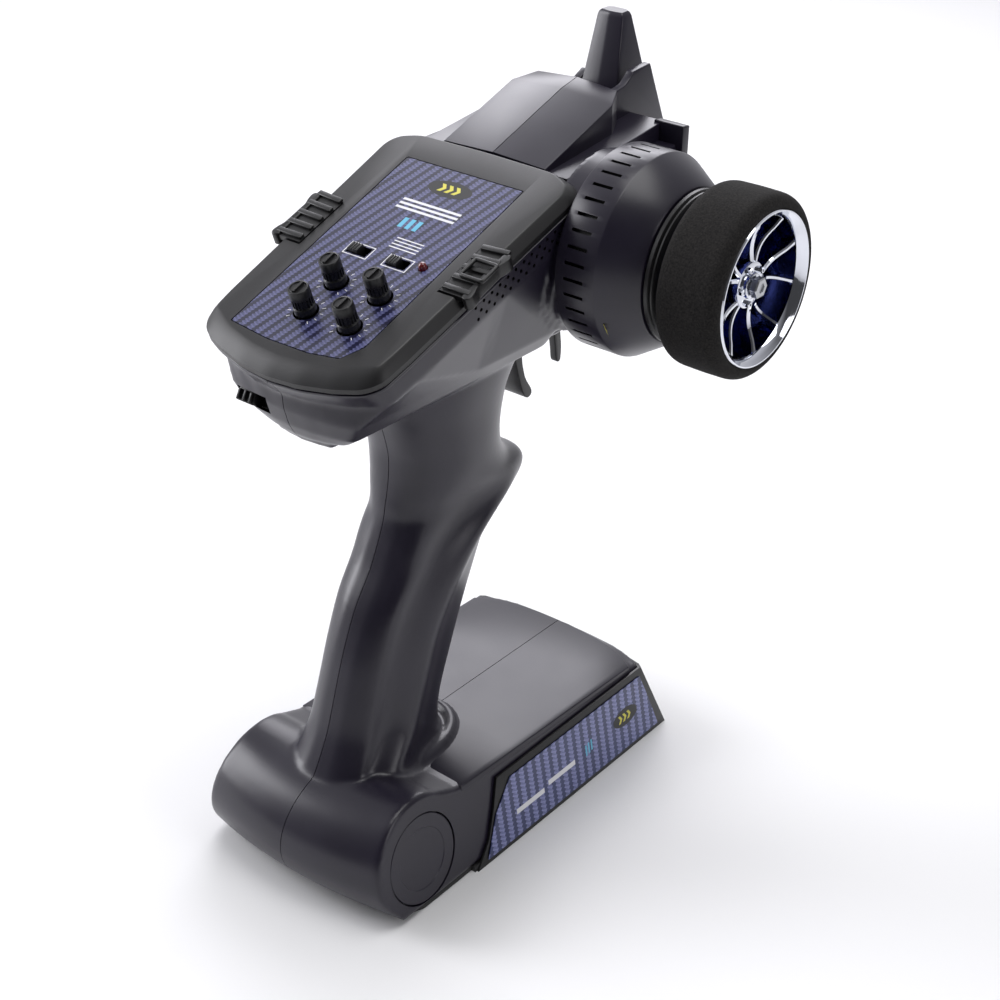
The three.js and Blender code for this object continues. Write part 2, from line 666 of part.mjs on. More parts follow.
// ---------------------------------------------------------------- steering
function wheelHousing() {
  const r = DRUM.r;
  const outside = [
    [DRUM.from, 0], [DRUM.from, r - 0.6], [DRUM.from + 0.8, r], [DRUM.crease, r],
    [DRUM.to, DRUM.coneR], [DRUM.to, 0],
  ];
  const inside = [
    [DRUM.from - 3, 0], [DRUM.from - 3, r - WALL], [DRUM.crease - 1, r - WALL],
    [DRUM.to - WALL, DRUM.coneR - WALL], [DRUM.to - WALL, 0],
  ];
  const grooves = [];
  for (let i = 0; i < DRUM.slots; i += 1) {
    const groove = box(DRUM.slotX, DRUM.slotX + 8.2, -0.55, 0.55, r - 1, r + 1);
    const turned = toGeometry(groove).rotateX((i / DRUM.slots) * 2 * Math.PI);
    grooves.push(toSolid(turned.translate(0, STEER.y, STEER.z)));
  }
  const shell = cut(turnedX(outside, STEER.y, STEER.z, 60), turnedX(inside, STEER.y, STEER.z, 36));
  return cut(shell, ...grooves, rodX(5 + GAP, 60, 80, STEER.y, STEER.z, 24));
}

function wheelCollar() {
  const x = DRUM.to + GAP;
  return turnedX([
    [x, 5.3], [x, DRUM.coneR - 0.4], [x + 2, DRUM.coneR - 0.4], [x + 2.4, DRUM.coneR - 2],
    [x + 3, DRUM.coneR - 2], [x + 3.4, DRUM.coneR - 0.8], [x + 5, DRUM.coneR - 1.4],
    [x + 5.4, DRUM.coneR - 3.6],
    [x + 3.6, 14], [x + 3.6, 5.3], [x, 5.3],
  ], STEER.y, STEER.z, 36);
}

function wheelTyre() {
  const { from, to, r, seatR } = TYRE;
  return turnedX([
    [from, seatR + GAP], [from, r - 4.4], [from + 1.6, r - 1.8], [from + 5, r - 0.3], [from + 13, r],
    [to - 5, r - 0.6], [to - 1.6, r - 2.2], [to, r - 4.6], [to, seatR + 1], [to - 2, seatR + GAP],
    [from, seatR + GAP],
  ], STEER.y, STEER.z, 40);
}

function wheelRim() {
  const barrel = turnedX([
    [TYRE.from + 0.4, seatInner()], [TYRE.from + 0.4, TYRE.seatR], [RIM.to - 1.9, TYRE.seatR],
    [RIM.to - 0.4, RIM.r], [RIM.to, RIM.r - 0.6], [RIM.to, RIM.r - 1.6], [RIM.to - 2, seatInner()],
    [TYRE.from + 0.4, seatInner()],
  ], STEER.y, STEER.z, 40);
  const web = turnedX([
    [TYRE.from + 1, SHAFT_R + GAP], [TYRE.from + 1, seatInner() + 0.6],
    [TYRE.from + 3, seatInner() + 0.6], [TYRE.from + 3, SHAFT_R + GAP], [TYRE.from + 1, SHAFT_R + GAP],
  ], STEER.y, STEER.z, 24);
  const hub = turnedX([
    [TYRE.from + 2, SHAFT_R + GAP], [TYRE.from + 2, RIM.hubR], [RIM.hubX, RIM.hubR],
    [RIM.hubX, SHAFT_R + GAP], [TYRE.from + 2, SHAFT_R + GAP],
  ], STEER.y, STEER.z, 24);
  const spokes = [];
  for (let i = 0; i < RIM.spokes; i += 1) {
    const spoke = loft([
      spokeRing(RIM.hubR - 1, 1.3, RIM.hubX - 3.4, RIM.hubX - 0.6),
      spokeRing(seatInner() + 0.6, 1, RIM.to - 4.6, RIM.to - 2.4),
    ], (p) => new THREE.Vector2(p.x, p.y));
    const turn = (i / RIM.spokes) * 2 * Math.PI;
    spokes.push(toSolid(toGeometry(spoke).rotateX(turn).translate(0, STEER.y, STEER.z)));
  }
  return join(barrel, web, hub, ...spokes);
}

const seatInner = () => TYRE.seatR - 1.8;

function spokeRing(r, half, x0, x1) {
  const corners = [[x0, -half], [x1, -half], [x1, half], [x0, half]];
  return corners.map(([x, y]) => new THREE.Vector3(x, y, r));
}

function steeringShaft() {
  return join(rodX(SHAFT_R, 19, RIM.hubX + 1, STEER.y, STEER.z), rodX(5, 52, 58, STEER.y, STEER.z));
}

function wheelNut() {
  const x = RIM.hubX + GAP;
  const bore = rodX(SHAFT_R + GAP, 90, x + 1.4, STEER.y, STEER.z, 20);
  return cut(rodX(4.4, x, x + 3, STEER.y, STEER.z, 6), bore);
}

// A sensor can beside the steering web, bored to take the end of the shaft.
function steeringPot() {
  const can = rodX(8.2, 12, WEB.from - GAP, STEER.y, STEER.z, 24);
  return cut(can, rodX(SHAFT_R + GAP, 18.4, WEB.from + 1, STEER.y, STEER.z, 24));
}

function tubeX(inner, outer, x0, x1, y, z, sides = 28) {
  return cut(rodX(outer, x0, x1, y, z, sides), rodX(inner, x0 - 1, x1 + 1, y, z, sides));
}

// A helical wire of round turns about the X axis through (y, z).
class Helix extends THREE.Curve {
  constructor(r, x0, x1, turns, y, z) {
    super();
    Object.assign(this, { r, x0, x1, turns, y, z });
  }

  getPoint(t, target = new THREE.Vector3()) {
    const angle = t * this.turns * 2 * Math.PI;
    const x = THREE.MathUtils.lerp(this.x0, this.x1, t);
    return target.set(x, this.y + this.r * Math.cos(angle), this.z + this.r * Math.sin(angle));
  }
}

function coil(r, wire, x0, x1, turns, y, z) {
  const section = new THREE.Shape();
  section.absarc(0, 0, wire, 0, 2 * Math.PI);
  const geometry = new THREE.ExtrudeGeometry(section, {
    steps: turns * 9,
    curveSegments: 3,
    bevelEnabled: false,
    extrudePath: new Helix(r, x0, x1, turns, y, z),
  });
  return toSolid(geometry);
}

// ---------------------------------------------------------------- tray, battery door, cells
function trayBody(inset, low, high) {
  const t = (z) => z / TRAY.skirtZ;
  const ring = (z) => {
    const half = THREE.MathUtils.lerp(TRAY.footHalf, TRAY.topHalf, t(z)) - inset;
    const front = THREE.MathUtils.lerp(TRAY.footFront, TRAY.topFront, t(z)) - inset;
    const rise = Math.max(t(z), 0) ** 0.6;
    const rear = THREE.MathUtils.lerp(TRAY.footRear, TRAY.topRear, rise) - (inset ? 20 : 0);
    const bow = BASE.frontBow * 0.8;
    return [
      [-half, rear], [half, rear], [half, front - bow - 1.5], [half - 2, front - bow],
      [half * 0.5, front - 1.2], [0, front], [-half * 0.5, front - 1.2], [2 - half, front - bow],
      [-half, front - bow - 1.5],
    ].map(([x, y]) => new THREE.Vector3(x, y, z));
  };
  const levels = [low, low + (high - low) * 0.3, low + (high - low) * 0.65, high];
  return loft(levels.map(ring));
}

function tray() {
  const skirts = cut(
    trayBody(0, 0, TRAY.skirtZ), trayBody(1, -4, TRAY.skirtZ + 4), box(-60, 60, -20, 26.5, -1, 60),
  );
  const floor = trayBody(0.8, 0.01, TRAY.floor).intersect(box(-60, 60, 26, 160, -1, TRAY.floor));
  const rear = plate([
    [-47, 27], [-47, -2], [-43, TRAY.rearY + 1], [0, TRAY.rearY], [43, TRAY.rearY + 1], [47, -2], [47, 27],
  ], 0, TRAY.floor);
  const seats = TRAY_SCREWS.map(([x, y]) => rodZ(4.2, 0, BASE.rimZ + 1, x, y, 16));
  const opening = box(-DOOR.half - GAP, DOOR.half + GAP, DOOR.rearY, 170, -1, TRAY.floor + 0.6);
  const ledge = box(-DOOR.half + 4, DOOR.half - 4, DOOR.rearY - 5, DOOR.rearY + 1, 1.7, 5);
  const holes = TRAY_SCREWS.flatMap(([x, y]) => [
    rodZ(SCREW.shankR + GAP, -1, 10, x, y, 12), rodZ(SCREW.headR + GAP, -1, 1.9, x, y, 16),
  ]);
  const bay = BAY;
  const well = cut(
    box(-bay.half, bay.half, bay.rear, bay.front, TRAY.floor + 0.6, bay.top),
    box(-bay.half + 1.6, bay.half - 1.6, bay.rear + 1.6, bay.front - 1.6, -1, bay.top - 1.6),
  );
  const rails = [-1, 1].map((side) => {
    const [a, b] = [side * (bay.half - 1.6), side * (DOOR.half + 3)];
    return box(Math.min(a, b), Math.max(a, b), bay.rear, bay.front, TRAY.floor + 0.6, TRAY.floor + 2);
  });
  const body = cut(join(skirts, floor, rear, ...seats), opening, ledge);
  const webs = [-1, 1].map((side) => {
    const [a, b] = [side * (DOOR.half + 0.6), side * (DOOR.half + 3)];
    return box(Math.min(a, b), Math.max(a, b), bay.rear, bay.front, TRAY.floor - 0.6, TRAY.floor + 2);
  });
  return cut(join(body, well, ...rails, ...webs), ...holes);
}

const BAY = { half: 29.8, rear: 40, front: 106.5, top: 21.6 };

function batteryDoor() {
  const half = DOOR.half;
  const [rear, front] = [DOOR.rearY + GAP, TRAY.footFront - 1.6];
  const sheet = plate([
    [-half, rear], [half, rear], [half, front - 4], [0, front], [-half, front - 4],
  ], 0.4, 2.2);
  const tongue = box(-half + 4.4, half - 4.4, rear - 4.4, rear + 2, 1.9 + GAP, 2.9);
  return join(sheet, tongue);
}

function cell(i) {
  const y = CELL.firstY - 1 + i * CELL.pitch;
  const can = rodX(CELL.r, -CELL.length / 2 + 0.6, CELL.length / 2 - 1.6, y, CELL.z, 20);
  const side = i % 2 ? -1 : 1;
  const nubEnd = CELL.length / 2;
  const drawn = join(can, rodX(2.6, nubEnd - 2.4, nubEnd - 0.4, y, CELL.z, 12));
  return side > 0 ? drawn : mirrored(drawn);
}

function contact(side) {
  const x = side * (CELL.length / 2 + 0.5);
  const [a, b] = [Math.min(x, x + side * 0.8), Math.max(x, x + side * 0.8)];
  return box(a, b, BAY.rear + 2.2, BAY.front - 2.2, 4.6, 19);
}

function sideLabel(side) {
  const { footHalf, topHalf, skirtZ } = TRAY;
  const x = (z) => THREE.MathUtils.lerp(footHalf, topHalf, z / skirtZ) + GAP;
  const ring = (z, rear, front) => [
    [x(z), rear], [x(z) + 0.35, rear], [x(z) + 0.35, front], [x(z), front],
  ].map(([px, py]) => new THREE.Vector3(px, py, z));
  const drawn = loft([ring(2.2, 33, 150), ring(18, 41, 145), ring(29, 52, 141)]);
  return side > 0 ? drawn : mirrored(drawn);
}

// ---------------------------------------------------------------- screws, boards and small inner parts
function crossScrew([y, z]) {
  return join(
    rodX(SCREW.headR, SCREW.headX - 2.2, SCREW.headX - GAP, y, z, 14),
    rodX(SCREW.shankR, SCREW.headX - 1, SCREW.tipX, y, z, 10),
  );
}

function footScrew([x, y]) {
  return join(rodZ(SCREW.headR, 0.4, 1.6, x, y, 14), rodZ(SCREW.shankR, 1, 12, x, y, 10));
}

const BOARD = { h: -11.6, thick: 1.6 };

function mainBoard() {
  const sheet = box(-33, 33, 4, 96, BOARD.h - BOARD.thick, BOARD.h);
  return toPanel(sheet);
}

function panelPart(x, y, sizeX, sizeY, top) {
  return toPanel(box(x - sizeX / 2, x + sizeX / 2, y - sizeY / 2, y + sizeY / 2, BOARD.h + GAP, top));
}

function radioBoard() {
  return box(-14, 14, 104, 132, 249, 250.6);
}

// ---------------------------------------------------------------- the model
const body = { color: 0x46434d, roughness: 0.42, metalness: 0 };
const dark = { color: 0x1b1b1e, roughness: 0.5, metalness: 0 };
const lidFinish = { color: 0x26262a, roughness: 0.55, metalness: 0 };
const foam = { color: 0x232120, roughness: 0.95, metalness: 0 };
const chrome = { color: 0xd5d8e0, roughness: 0.08, metalness: 1 };
const steel = { color: 0x9a9da3, roughness: 0.3, metalness: 1 };
const brass = { color: 0xb08d3c, roughness: 0.35, metalness: 1 };
const board = { color: 0x1f5a34, roughness: 0.5, metalness: 0 };
const printed = { color: 0x2c3566, roughness: 0.35, metalness: 0 };
const lens = { color: 0x30040a, roughness: 0.1, metalness: 0 };
const wrap = { color: 0x2b6b3a, roughness: 0.35, metalness: 0.2 };

const model = new THREE.Group();

function addPiece(name, solid, finish) {
  const mesh = new THREE.Mesh(toGeometry(solid), new THREE.MeshStandardMaterial(finish));
  mesh.name = name;
  model.add(mesh);
}

const shell = housing();
addPiece('housing_left', shell.intersect(box(-100, -GAP / 2, -100, 250, -10, 350)), body);
addPiece('housing_right', shell.intersect(box(GAP / 2, 100, -100, 250, -10, 350)), body);
addPiece('top_lid', lid(), lidFinish);
addPiece('panel_label', label(), printed);
knobSpots.forEach((spot, i) => {
  addPiece(`trim_knob_${i + 1}`, knob(spot), dark);
  addPiece(`trim_pot_${i + 1}`, panelPart(spot[0], spot[1], 9.5, 9.5, -4), dark);
});
TOGGLE.columns.forEach((x, i) => {
  addPiece(`reverse_slider_${i + 1}`, toggle(x), dark);
  addPiece(`reverse_switch_${i + 1}`, panelPart(x, TOGGLE.row, 11, 6, -3.4), steel);
});
addPiece('status_led', ledLens(), lens);
addPiece('lid_clip_left', clip(-1), dark);
addPiece('lid_clip_right', clip(1), dark);
addPiece('power_slider', powerSlider(), dark);
addPiece('power_switch', powerSwitch(), steel);
addPiece('aerial_fin', aerialFin(), dark);
addPiece('aerial_core', rodZ(1.4, 252, 292, 0, AERIAL_Y, 12), brass);
addPiece('wheel_housing', wheelHousing(), body);
addPiece('wheel_collar', wheelCollar(), body);
addPiece('wheel_tyre', wheelTyre(), foam);
addPiece('wheel_rim', wheelRim(), chrome);
addPiece('wheel_nut', wheelNut(), steel);
addPiece('steering_shaft', steeringShaft(), steel);
addPiece('steering_bush', tubeX(SHAFT_R + GAP, 5, DRUM.to - 5, DRUM.to + 3, STEER.y, STEER.z), brass);
addPiece('steering_spring', coil(6.6, 0.6, 46, 51, 4, STEER.y, STEER.z), steel);
addPiece('trigger', trigger(), dark);
addPiece('trigger_pin', rodX(2, -10, 13.9, TRIGGER.y, TRIGGER.z, 16), steel);
addPiece('trigger_spring', coil(3.6, 0.5, 6.5, 10.3, 4, TRIGGER.y, TRIGGER.z), steel);
addPiece('trigger_pot', rodX(6.5, -18, -LUG.leftOuter - GAP, TRIGGER.y, TRIGGER.z, 20), dark);
addPiece('steering_pot', steeringPot(), dark);
addPiece('end_cap_right', endCap(1), body);
addPiece('end_cap_left', endCap(-1), body);
addPiece('base_tray', tray(), body);
addPiece('battery_door', batteryDoor(), body);
for (let i = 0; i < CELL.count; i += 1) addPiece(`cell_${i + 1}`, cell(i), wrap);
addPiece('contact_plate_left', contact(-1), steel);
addPiece('contact_plate_right', contact(1), steel);
addPiece('side_label_left', sideLabel(-1), printed);
addPiece('side_label_right', sideLabel(1), printed);
SHELL_SCREWS.forEach((spot, i) => addPiece(`shell_screw_${i + 1}`, crossScrew(spot), steel));
TRAY_SCREWS.forEach((spot, i) => addPiece(`tray_screw_${i + 1}`, footScrew(spot), steel));
addPiece('main_board', mainBoard(), board);
addPiece('radio_board', radioBoard(), board);

export default model;
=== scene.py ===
# %% [markdown]
# # A pistol-grip radio transmitter
# The real thing is moulded plastic: two satin shells for the body, a matt lid with printed film, a
# foam-tyred chrome wheel and a base for the cells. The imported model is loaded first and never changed.
# New pieces are drawn in millimetres and scaled to metres at the very end, because small whole numbers
# are easier to read.

import math

import bmesh
import bpy
import numpy as np
from mathutils import Matrix, Vector


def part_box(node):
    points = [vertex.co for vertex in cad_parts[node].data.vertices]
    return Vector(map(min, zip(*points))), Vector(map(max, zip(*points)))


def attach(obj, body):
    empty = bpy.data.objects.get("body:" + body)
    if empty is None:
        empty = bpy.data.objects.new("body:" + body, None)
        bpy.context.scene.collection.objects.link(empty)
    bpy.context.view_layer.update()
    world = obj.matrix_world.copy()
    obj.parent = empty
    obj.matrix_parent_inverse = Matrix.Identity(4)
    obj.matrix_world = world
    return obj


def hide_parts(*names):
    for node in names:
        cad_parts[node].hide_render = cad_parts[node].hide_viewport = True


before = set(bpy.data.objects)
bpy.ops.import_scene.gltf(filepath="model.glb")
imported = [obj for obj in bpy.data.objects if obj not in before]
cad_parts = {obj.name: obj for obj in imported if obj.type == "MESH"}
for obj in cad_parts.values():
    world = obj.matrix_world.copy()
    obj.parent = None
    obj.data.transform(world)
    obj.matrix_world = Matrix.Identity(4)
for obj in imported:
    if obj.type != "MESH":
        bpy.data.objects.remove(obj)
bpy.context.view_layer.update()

# %% [markdown]
# ## Shape helpers
# A loft joins rings of points, a turned piece spins a profile about the wheel's axis, and a prism pushes
# an outline along one axis. Corners are rounded in the outline itself, which is cheaper than a bevel.

# %% outlines and rows
def rounded(points, radius, steps=4, closed=True):
    out, n = [], len(points)
    for i, point in enumerate(points):
        p = np.array(point, float)
        if not closed and i in (0, n - 1):
            out.append(p)
            continue
        a, b = np.array(points[i - 1], float), np.array(points[(i + 1) % n], float)
        la, lb = np.linalg.norm(a - p), np.linalg.norm(b - p)
        s, e = p + (a - p) / la * min(radius, 0.45 * la), p + (b - p) / lb * min(radius, 0.45 * lb)
        for k in range(steps + 1):
            t = k / steps
            out.append((1 - t) ** 2 * s + 2 * t * (1 - t) * p + t * t * e)
    return out


def smooth_rows(rows, steps):
    a = np.array(rows, float)
    pad = np.vstack([2 * a[0] - a[1], a, 2 * a[-1] - a[-2]])
    out = []
    for i in range(1, len(pad) - 2):
        p0, p1, p2, p3 = pad[i - 1 : i + 3]
        for t in np.arange(steps) / steps:
            out.append(0.5 * (2 * p1 + (p2 - p0) * t + (2 * p0 - 5 * p1 + 4 * p2 - p3) * t**2
                              + (3 * p1 - p0 - 3 * p2 + p3) * t**3))
    return out + [a[-1]]


def lerp(a, b, t):
    return a + (b - a) * t


def full_turn(count):
    return np.linspace(0, 2 * math.pi, count, endpoint=False)


def ellipse(x, y, wide, high, count):
    return [(x + wide * math.cos(t), y + high * math.sin(t)) for t in full_turn(count)]


def side_name(side):
    return "right" if side > 0 else "left"


# %% solids
def loft(rings):
    bm = bmesh.new()
    loops = [[bm.verts.new(tuple(p)) for p in ring] for ring in rings]
    n = len(loops[0])
    for a, b in zip(loops, loops[1:]):
        for j in range(n):
            bm.faces.new((a[j], a[(j + 1) % n], b[(j + 1) % n], b[j]))
    bm.faces.new(loops[0][::-1])
    bm.faces.new(loops[-1])
    bmesh.ops.recalc_face_normals(bm, faces=bm.faces)
    return bm


def prism(outline, low, high, axis="x"):
    place = {"x": lambda h, a, b: (h, a, b), "y": lambda h, a, b: (a, h, b), "z": lambda h, a, b: (a, b, h)}
    return loft([[place[axis](h, a, b) for a, b in outline] for h in (low, high)])


def block(x0, x1, y0, y1, z0, z1):
    return prism([(x0, y0), (x1, y0), (x1, y1), (x0, y1)], z0, z1, "z")


def turned(profile, y=0.0, z=0.0, sides=128, axis="x"):
    closed = np.allclose(profile[0], profile[-1])
    rows = profile[:-1] if closed else profile
    bm, rings = bmesh.new(), []
    for h, r in rows:
        count = 1 if r < 1e-5 else sides
        angles = np.arange(count) / sides * 2 * math.pi
        if axis == "x":
            rings.append([bm.verts.new((h, y + r * math.cos(t), z + r * math.sin(t))) for t in angles])
        else:
            rings.append([bm.verts.new((y + r * math.cos(t), z + r * math.sin(t), h)) for t in angles])
    pairs = list(zip(rings, rings[1:])) + ([(rings[-1], rings[0])] if closed else [])
    for a, b in pairs:
        for j in range(sides):
            k = (j + 1) % sides
            corners = [a[j % len(a)], a[k % len(a)], b[k % len(b)], b[j % len(b)]]
            unique = list(dict.fromkeys(corners))
            if len(unique) > 2:
                bm.faces.new(unique)
    bmesh.ops.recalc_face_normals(bm, faces=bm.faces)
    return bm


def rod(r, x0, x1, y, z, sides=48, edge=0.0):
    return turned([(x0, 0), (x0, r - edge), (x0 + edge, r), (x1 - edge, r), (x1, r - edge), (x1, 0)]
                  if edge else [(x0, 0), (x0, r), (x1, r), (x1, 0)], y, z, sides)


# %% [markdown]
# The pieces share these last steps: bake the modifiers into the mesh, smooth the shading except
# at real edges, scale from millimetres to metres, and tie the piece to the body that carries it.

# %% from solids to finished pieces
def copied(mesh):
    bm = bmesh.new()
    bm.from_mesh(mesh)
    return bm


def moved(bm, matrix):
    bmesh.ops.transform(bm, matrix=matrix, verts=bm.verts)
    return bm


def sliced(bm, point, normal):
    """Cuts away what lies beyond a plane and closes the cut."""
    bmesh.ops.bisect_plane(bm, geom=bm.verts[:] + bm.edges[:] + bm.faces[:], plane_co=point,
                           plane_no=normal, clear_outer=True)
    bmesh.ops.holes_fill(bm, edges=[e for e in bm.edges if e.is_boundary], sides=0)


def thing(name, bm, *materials):
    mesh = bpy.data.meshes.new(name)
    bm.to_mesh(mesh)
    bm.free()
    obj = bpy.data.objects.new(name, mesh)
    bpy.context.scene.collection.objects.link(obj)
    for material in materials:
        mesh.materials.append(material)
    return obj


def baked(obj):
    view = bpy.context.evaluated_depsgraph_get()
    mesh = bpy.data.meshes.new_from_object(obj.evaluated_get(view))
    obj.modifiers.clear()
    obj.data = mesh
    return obj


def bevelled(obj, width, segments=2, angle=30):
    bevel = obj.modifiers.new("bevel", "BEVEL")
    bevel.width, bevel.segments, bevel.limit_method = width, segments, "ANGLE"
    bevel.angle_limit, bevel.harden_normals = math.radians(angle), False
    bevel.miter_outer = "MITER_ARC"
    return baked(obj)


def joined(name, *objects):
    bm = bmesh.new()
    for obj in objects:
        bm.from_mesh(obj.data)
    materials = list(objects[0].data.materials)
    for obj in objects:
        bpy.data.objects.remove(obj)
    return thing(name, bm, *materials)


def carved(obj, cutter, operation="DIFFERENCE"):
    tool = obj.modifiers.new("cut", "BOOLEAN")
    tool.object, tool.operation, tool.solver, tool.material_mode = cutter, operation, "EXACT", "TRANSFER"
    baked(obj)
    bpy.data.objects.remove(cutter)
    return obj


def cad_copy(node, name, merge=0.02):
    bm = copied(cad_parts[node].data)
    bmesh.ops.scale(bm, vec=(1000, 1000, 1000), verts=bm.verts)
    bmesh.ops.remove_doubles(bm, verts=bm.verts, dist=merge)
    bmesh.ops.dissolve_limit(bm, angle_limit=math.radians(2), verts=bm.verts, edges=bm.edges)
    return thing(name, bm)


def finished(obj, body, material, slot, *replaced, sharp=32):
    mesh = obj.data
    mesh.transform(Matrix.Scale(0.001, 4))
    if material:
        mesh.materials.clear()
        mesh.materials.append(material)
    mesh.polygons.foreach_set("use_smooth", [True] * len(mesh.polygons))
    mesh.set_sharp_from_angle(angle=math.radians(sharp))
    mesh.update()
    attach(obj, body)
    if replaced:
        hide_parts(*replaced)
    print(f"{obj.name}: {sum(len(p.vertices) - 2 for p in mesh.polygons)} triangles")
    return obj


# %% [markdown]
# ## One tree for everything that repeats
# Ribs, slots, spokes, studs, ticks and screws are all one small shape set out in a row or round a ring.
# A single Geometry Nodes tree does both: each copy is turned by a further step about an axis and moved by
# a further step along a line, and the whole set is then tilted and carried to its place.

# %% the repeating tree
def repeating_tree():
    tree = bpy.data.node_groups.new("set_out_copies", "GeometryNodeTree")
    face = tree.interface
    sockets = [("Shape", "Geometry"), ("Count", "Int"), ("Turn", "Vector"), ("Step", "Vector"),
               ("Tilt", "Vector"), ("Place", "Vector"), ("Finish", "Material")]
    for name, kind in sockets:
        face.new_socket(name, in_out="INPUT", socket_type="NodeSocket" + kind)
    face.new_socket("Copies", in_out="OUTPUT", socket_type="NodeSocketGeometry")
    node, link = tree.nodes.new, tree.links.new
    given, result = node("NodeGroupInput"), node("NodeGroupOutput")
    index, points, copies = node("GeometryNodeInputIndex"), node("GeometryNodePoints"), node(
        "GeometryNodeInstanceOnPoints")
    along, turned_by = node("ShaderNodeVectorMath"), node("ShaderNodeVectorMath")
    placed, real, finish = node("GeometryNodeTransform"), node("GeometryNodeRealizeInstances"), node(
        "GeometryNodeSetMaterial")
    for scaled, source in ((along, "Step"), (turned_by, "Turn")):
        scaled.operation = "SCALE"
        link(given.outputs[source], scaled.inputs[0])
        link(index.outputs[0], scaled.inputs["Scale"])
    link(given.outputs["Count"], points.inputs["Count"])
    link(along.outputs[0], points.inputs["Position"])
    link(points.outputs[0], copies.inputs["Points"])
    link(given.outputs["Shape"], copies.inputs["Instance"])
    link(turned_by.outputs[0], copies.inputs["Rotation"])
    link(copies.outputs[0], placed.inputs["Geometry"])
    link(given.outputs["Tilt"], placed.inputs["Rotation"])
    link(given.outputs["Place"], placed.inputs["Translation"])
    link(placed.outputs[0], real.inputs[0])
    link(real.outputs[0], finish.inputs["Geometry"])
    link(given.outputs["Finish"], finish.inputs["Material"])
    link(finish.outputs[0], result.inputs["Copies"])
    return tree


SET_OUT = repeating_tree()
SET_OUT_KEYS = {s.name: s.identifier for s in SET_OUT.interface.items_tree if s.in_out == "INPUT"}


def repeated(name, bm, material, count, turn=(0, 0, 0), step=(0, 0, 0), tilt=(0, 0, 0), place=(0, 0, 0)):
    obj = thing(name, bm)
    nodes = obj.modifiers.new("copies", "NODES")
    nodes.node_group = SET_OUT
    values = {"Count": count, "Turn": turn, "Step": step, "Tilt": tilt, "Place": place, "Finish": material}
    for key, value in values.items():
        nodes[SET_OUT_KEYS[key]] = value if isinstance(value, (int, bpy.types.Material)) else [
            float(v) for v in value]
    return baked(obj)


# %% [markdown]
# ## Shared surface effects
# Moulded plastic is never one flat colour. Three small groups give what every finish here needs: a fine
# spark-eroded grain, a slow drift of tone with a little dust, and the two-way weave of the printed film.

# %% shader groups
def shader_group(name, inputs, outputs):
    group = bpy.data.node_groups.new(name, "ShaderNodeTree")
    for label, kind, value in inputs:
        socket = group.interface.new_socket(label, in_out="INPUT", socket_type="NodeSocket" + kind)
        if value is not None:
            socket.default_value = value
    for label, kind in outputs:
        group.interface.new_socket(label, in_out="OUTPUT", socket_type="NodeSocket" + kind)
    return group, group.nodes.new("NodeGroupInput"), group.nodes.new("NodeGroupOutput")


def maths(tree, operation, a, b=None, clamp=False):
    node = tree.nodes.new("ShaderNodeMath")
    node.operation, node.use_clamp = operation, clamp
    for socket, value in zip(node.inputs, (a, b)):
        if value is None:
            continue
        if isinstance(value, (int, float)):
            socket.default_value = value
        else:
            tree.links.new(value, socket)
    return node.outputs[0]


def noise(tree, vector, scale, detail=3.0):
    node = tree.nodes.new("ShaderNodeTexNoise")
    node.inputs["Detail"].default_value = detail
    tree.links.new(vector, node.inputs["Vector"])
    if isinstance(scale, (int, float)):
        node.inputs["Scale"].default_value = scale
    else:
        tree.links.new(scale, node.inputs["Scale"])
    return node.outputs[0]


def make_grain():
    group, given, out = shader_group("fine_grain", [("Scale", "Float", 3000.0)], [("Height", "Float")])
    place = group.nodes.new("ShaderNodeTexCoord").outputs["Object"]
    group.links.new(noise(group, place, given.outputs["Scale"], 2.0), out.inputs["Height"])
    return group


def make_drift():
    inputs = [("Scale", "Float", 30.0), ("Dust", "Float", 0.3)]
    group, given, out = shader_group("tone_drift", inputs, [("Tone", "Float"), ("Dust", "Float")])
    place = group.nodes.new("ShaderNodeTexCoord").outputs["Object"]
    group.links.new(noise(group, place, given.outputs["Scale"], 4.0), out.inputs["Tone"])
    normal = group.nodes.new("ShaderNodeNewGeometry").outputs["Normal"]
    split = group.nodes.new("ShaderNodeSeparateXYZ")
    group.links.new(normal, split.inputs[0])
    up = maths(group, "POWER", maths(group, "MAXIMUM", split.outputs[2], 0.0), 3.0)
    specks = maths(group, "POWER", noise(group, place, 900.0, 2.0), 5.0)
    dusty = maths(group, "MULTIPLY", maths(group, "MULTIPLY", up, specks), given.outputs["Dust"], clamp=True)
    group.links.new(dusty, out.inputs["Dust"])
    return group


def make_weave():
    group, given, out = shader_group("two_way_weave", [("Across", "Float", 0.0), ("Along", "Float", 0.0)],
                                     [("Strand", "Float"), ("Shade", "Float")])
    tooth = maths(group, "MULTIPLY", maths(group, "PINGPONG", given.outputs["Along"], 0.5), 0.34)
    band = maths(group, "FRACT", maths(group, "ADD", given.outputs["Across"], tooth))
    group.links.new(maths(group, "LESS_THAN", band, 0.54), out.inputs["Strand"])
    lean = maths(group, "ADD", given.outputs["Along"], maths(group, "MULTIPLY", band, 1.6))
    dash = maths(group, "FRACT", lean)
    group.links.new(maths(group, "MULTIPLY", maths(group, "PINGPONG", dash, 0.5), 2.0), out.inputs["Shade"])
    return group


GRAIN, DRIFT, WEAVE = make_grain(), make_drift(), make_weave()

# %% [markdown]
# ## Finishes
# Each finish starts from the same recipe: a base colour that drifts a little, a roughness that follows
# the same drift, dust on what faces up, and a grain as bump. Metals leave the dust out.

# %% materials
def group_node(tree, group, **values):
    node = tree.nodes.new("ShaderNodeGroup")
    node.node_tree = group
    for key, value in values.items():
        node.inputs[key].default_value = value
    return node


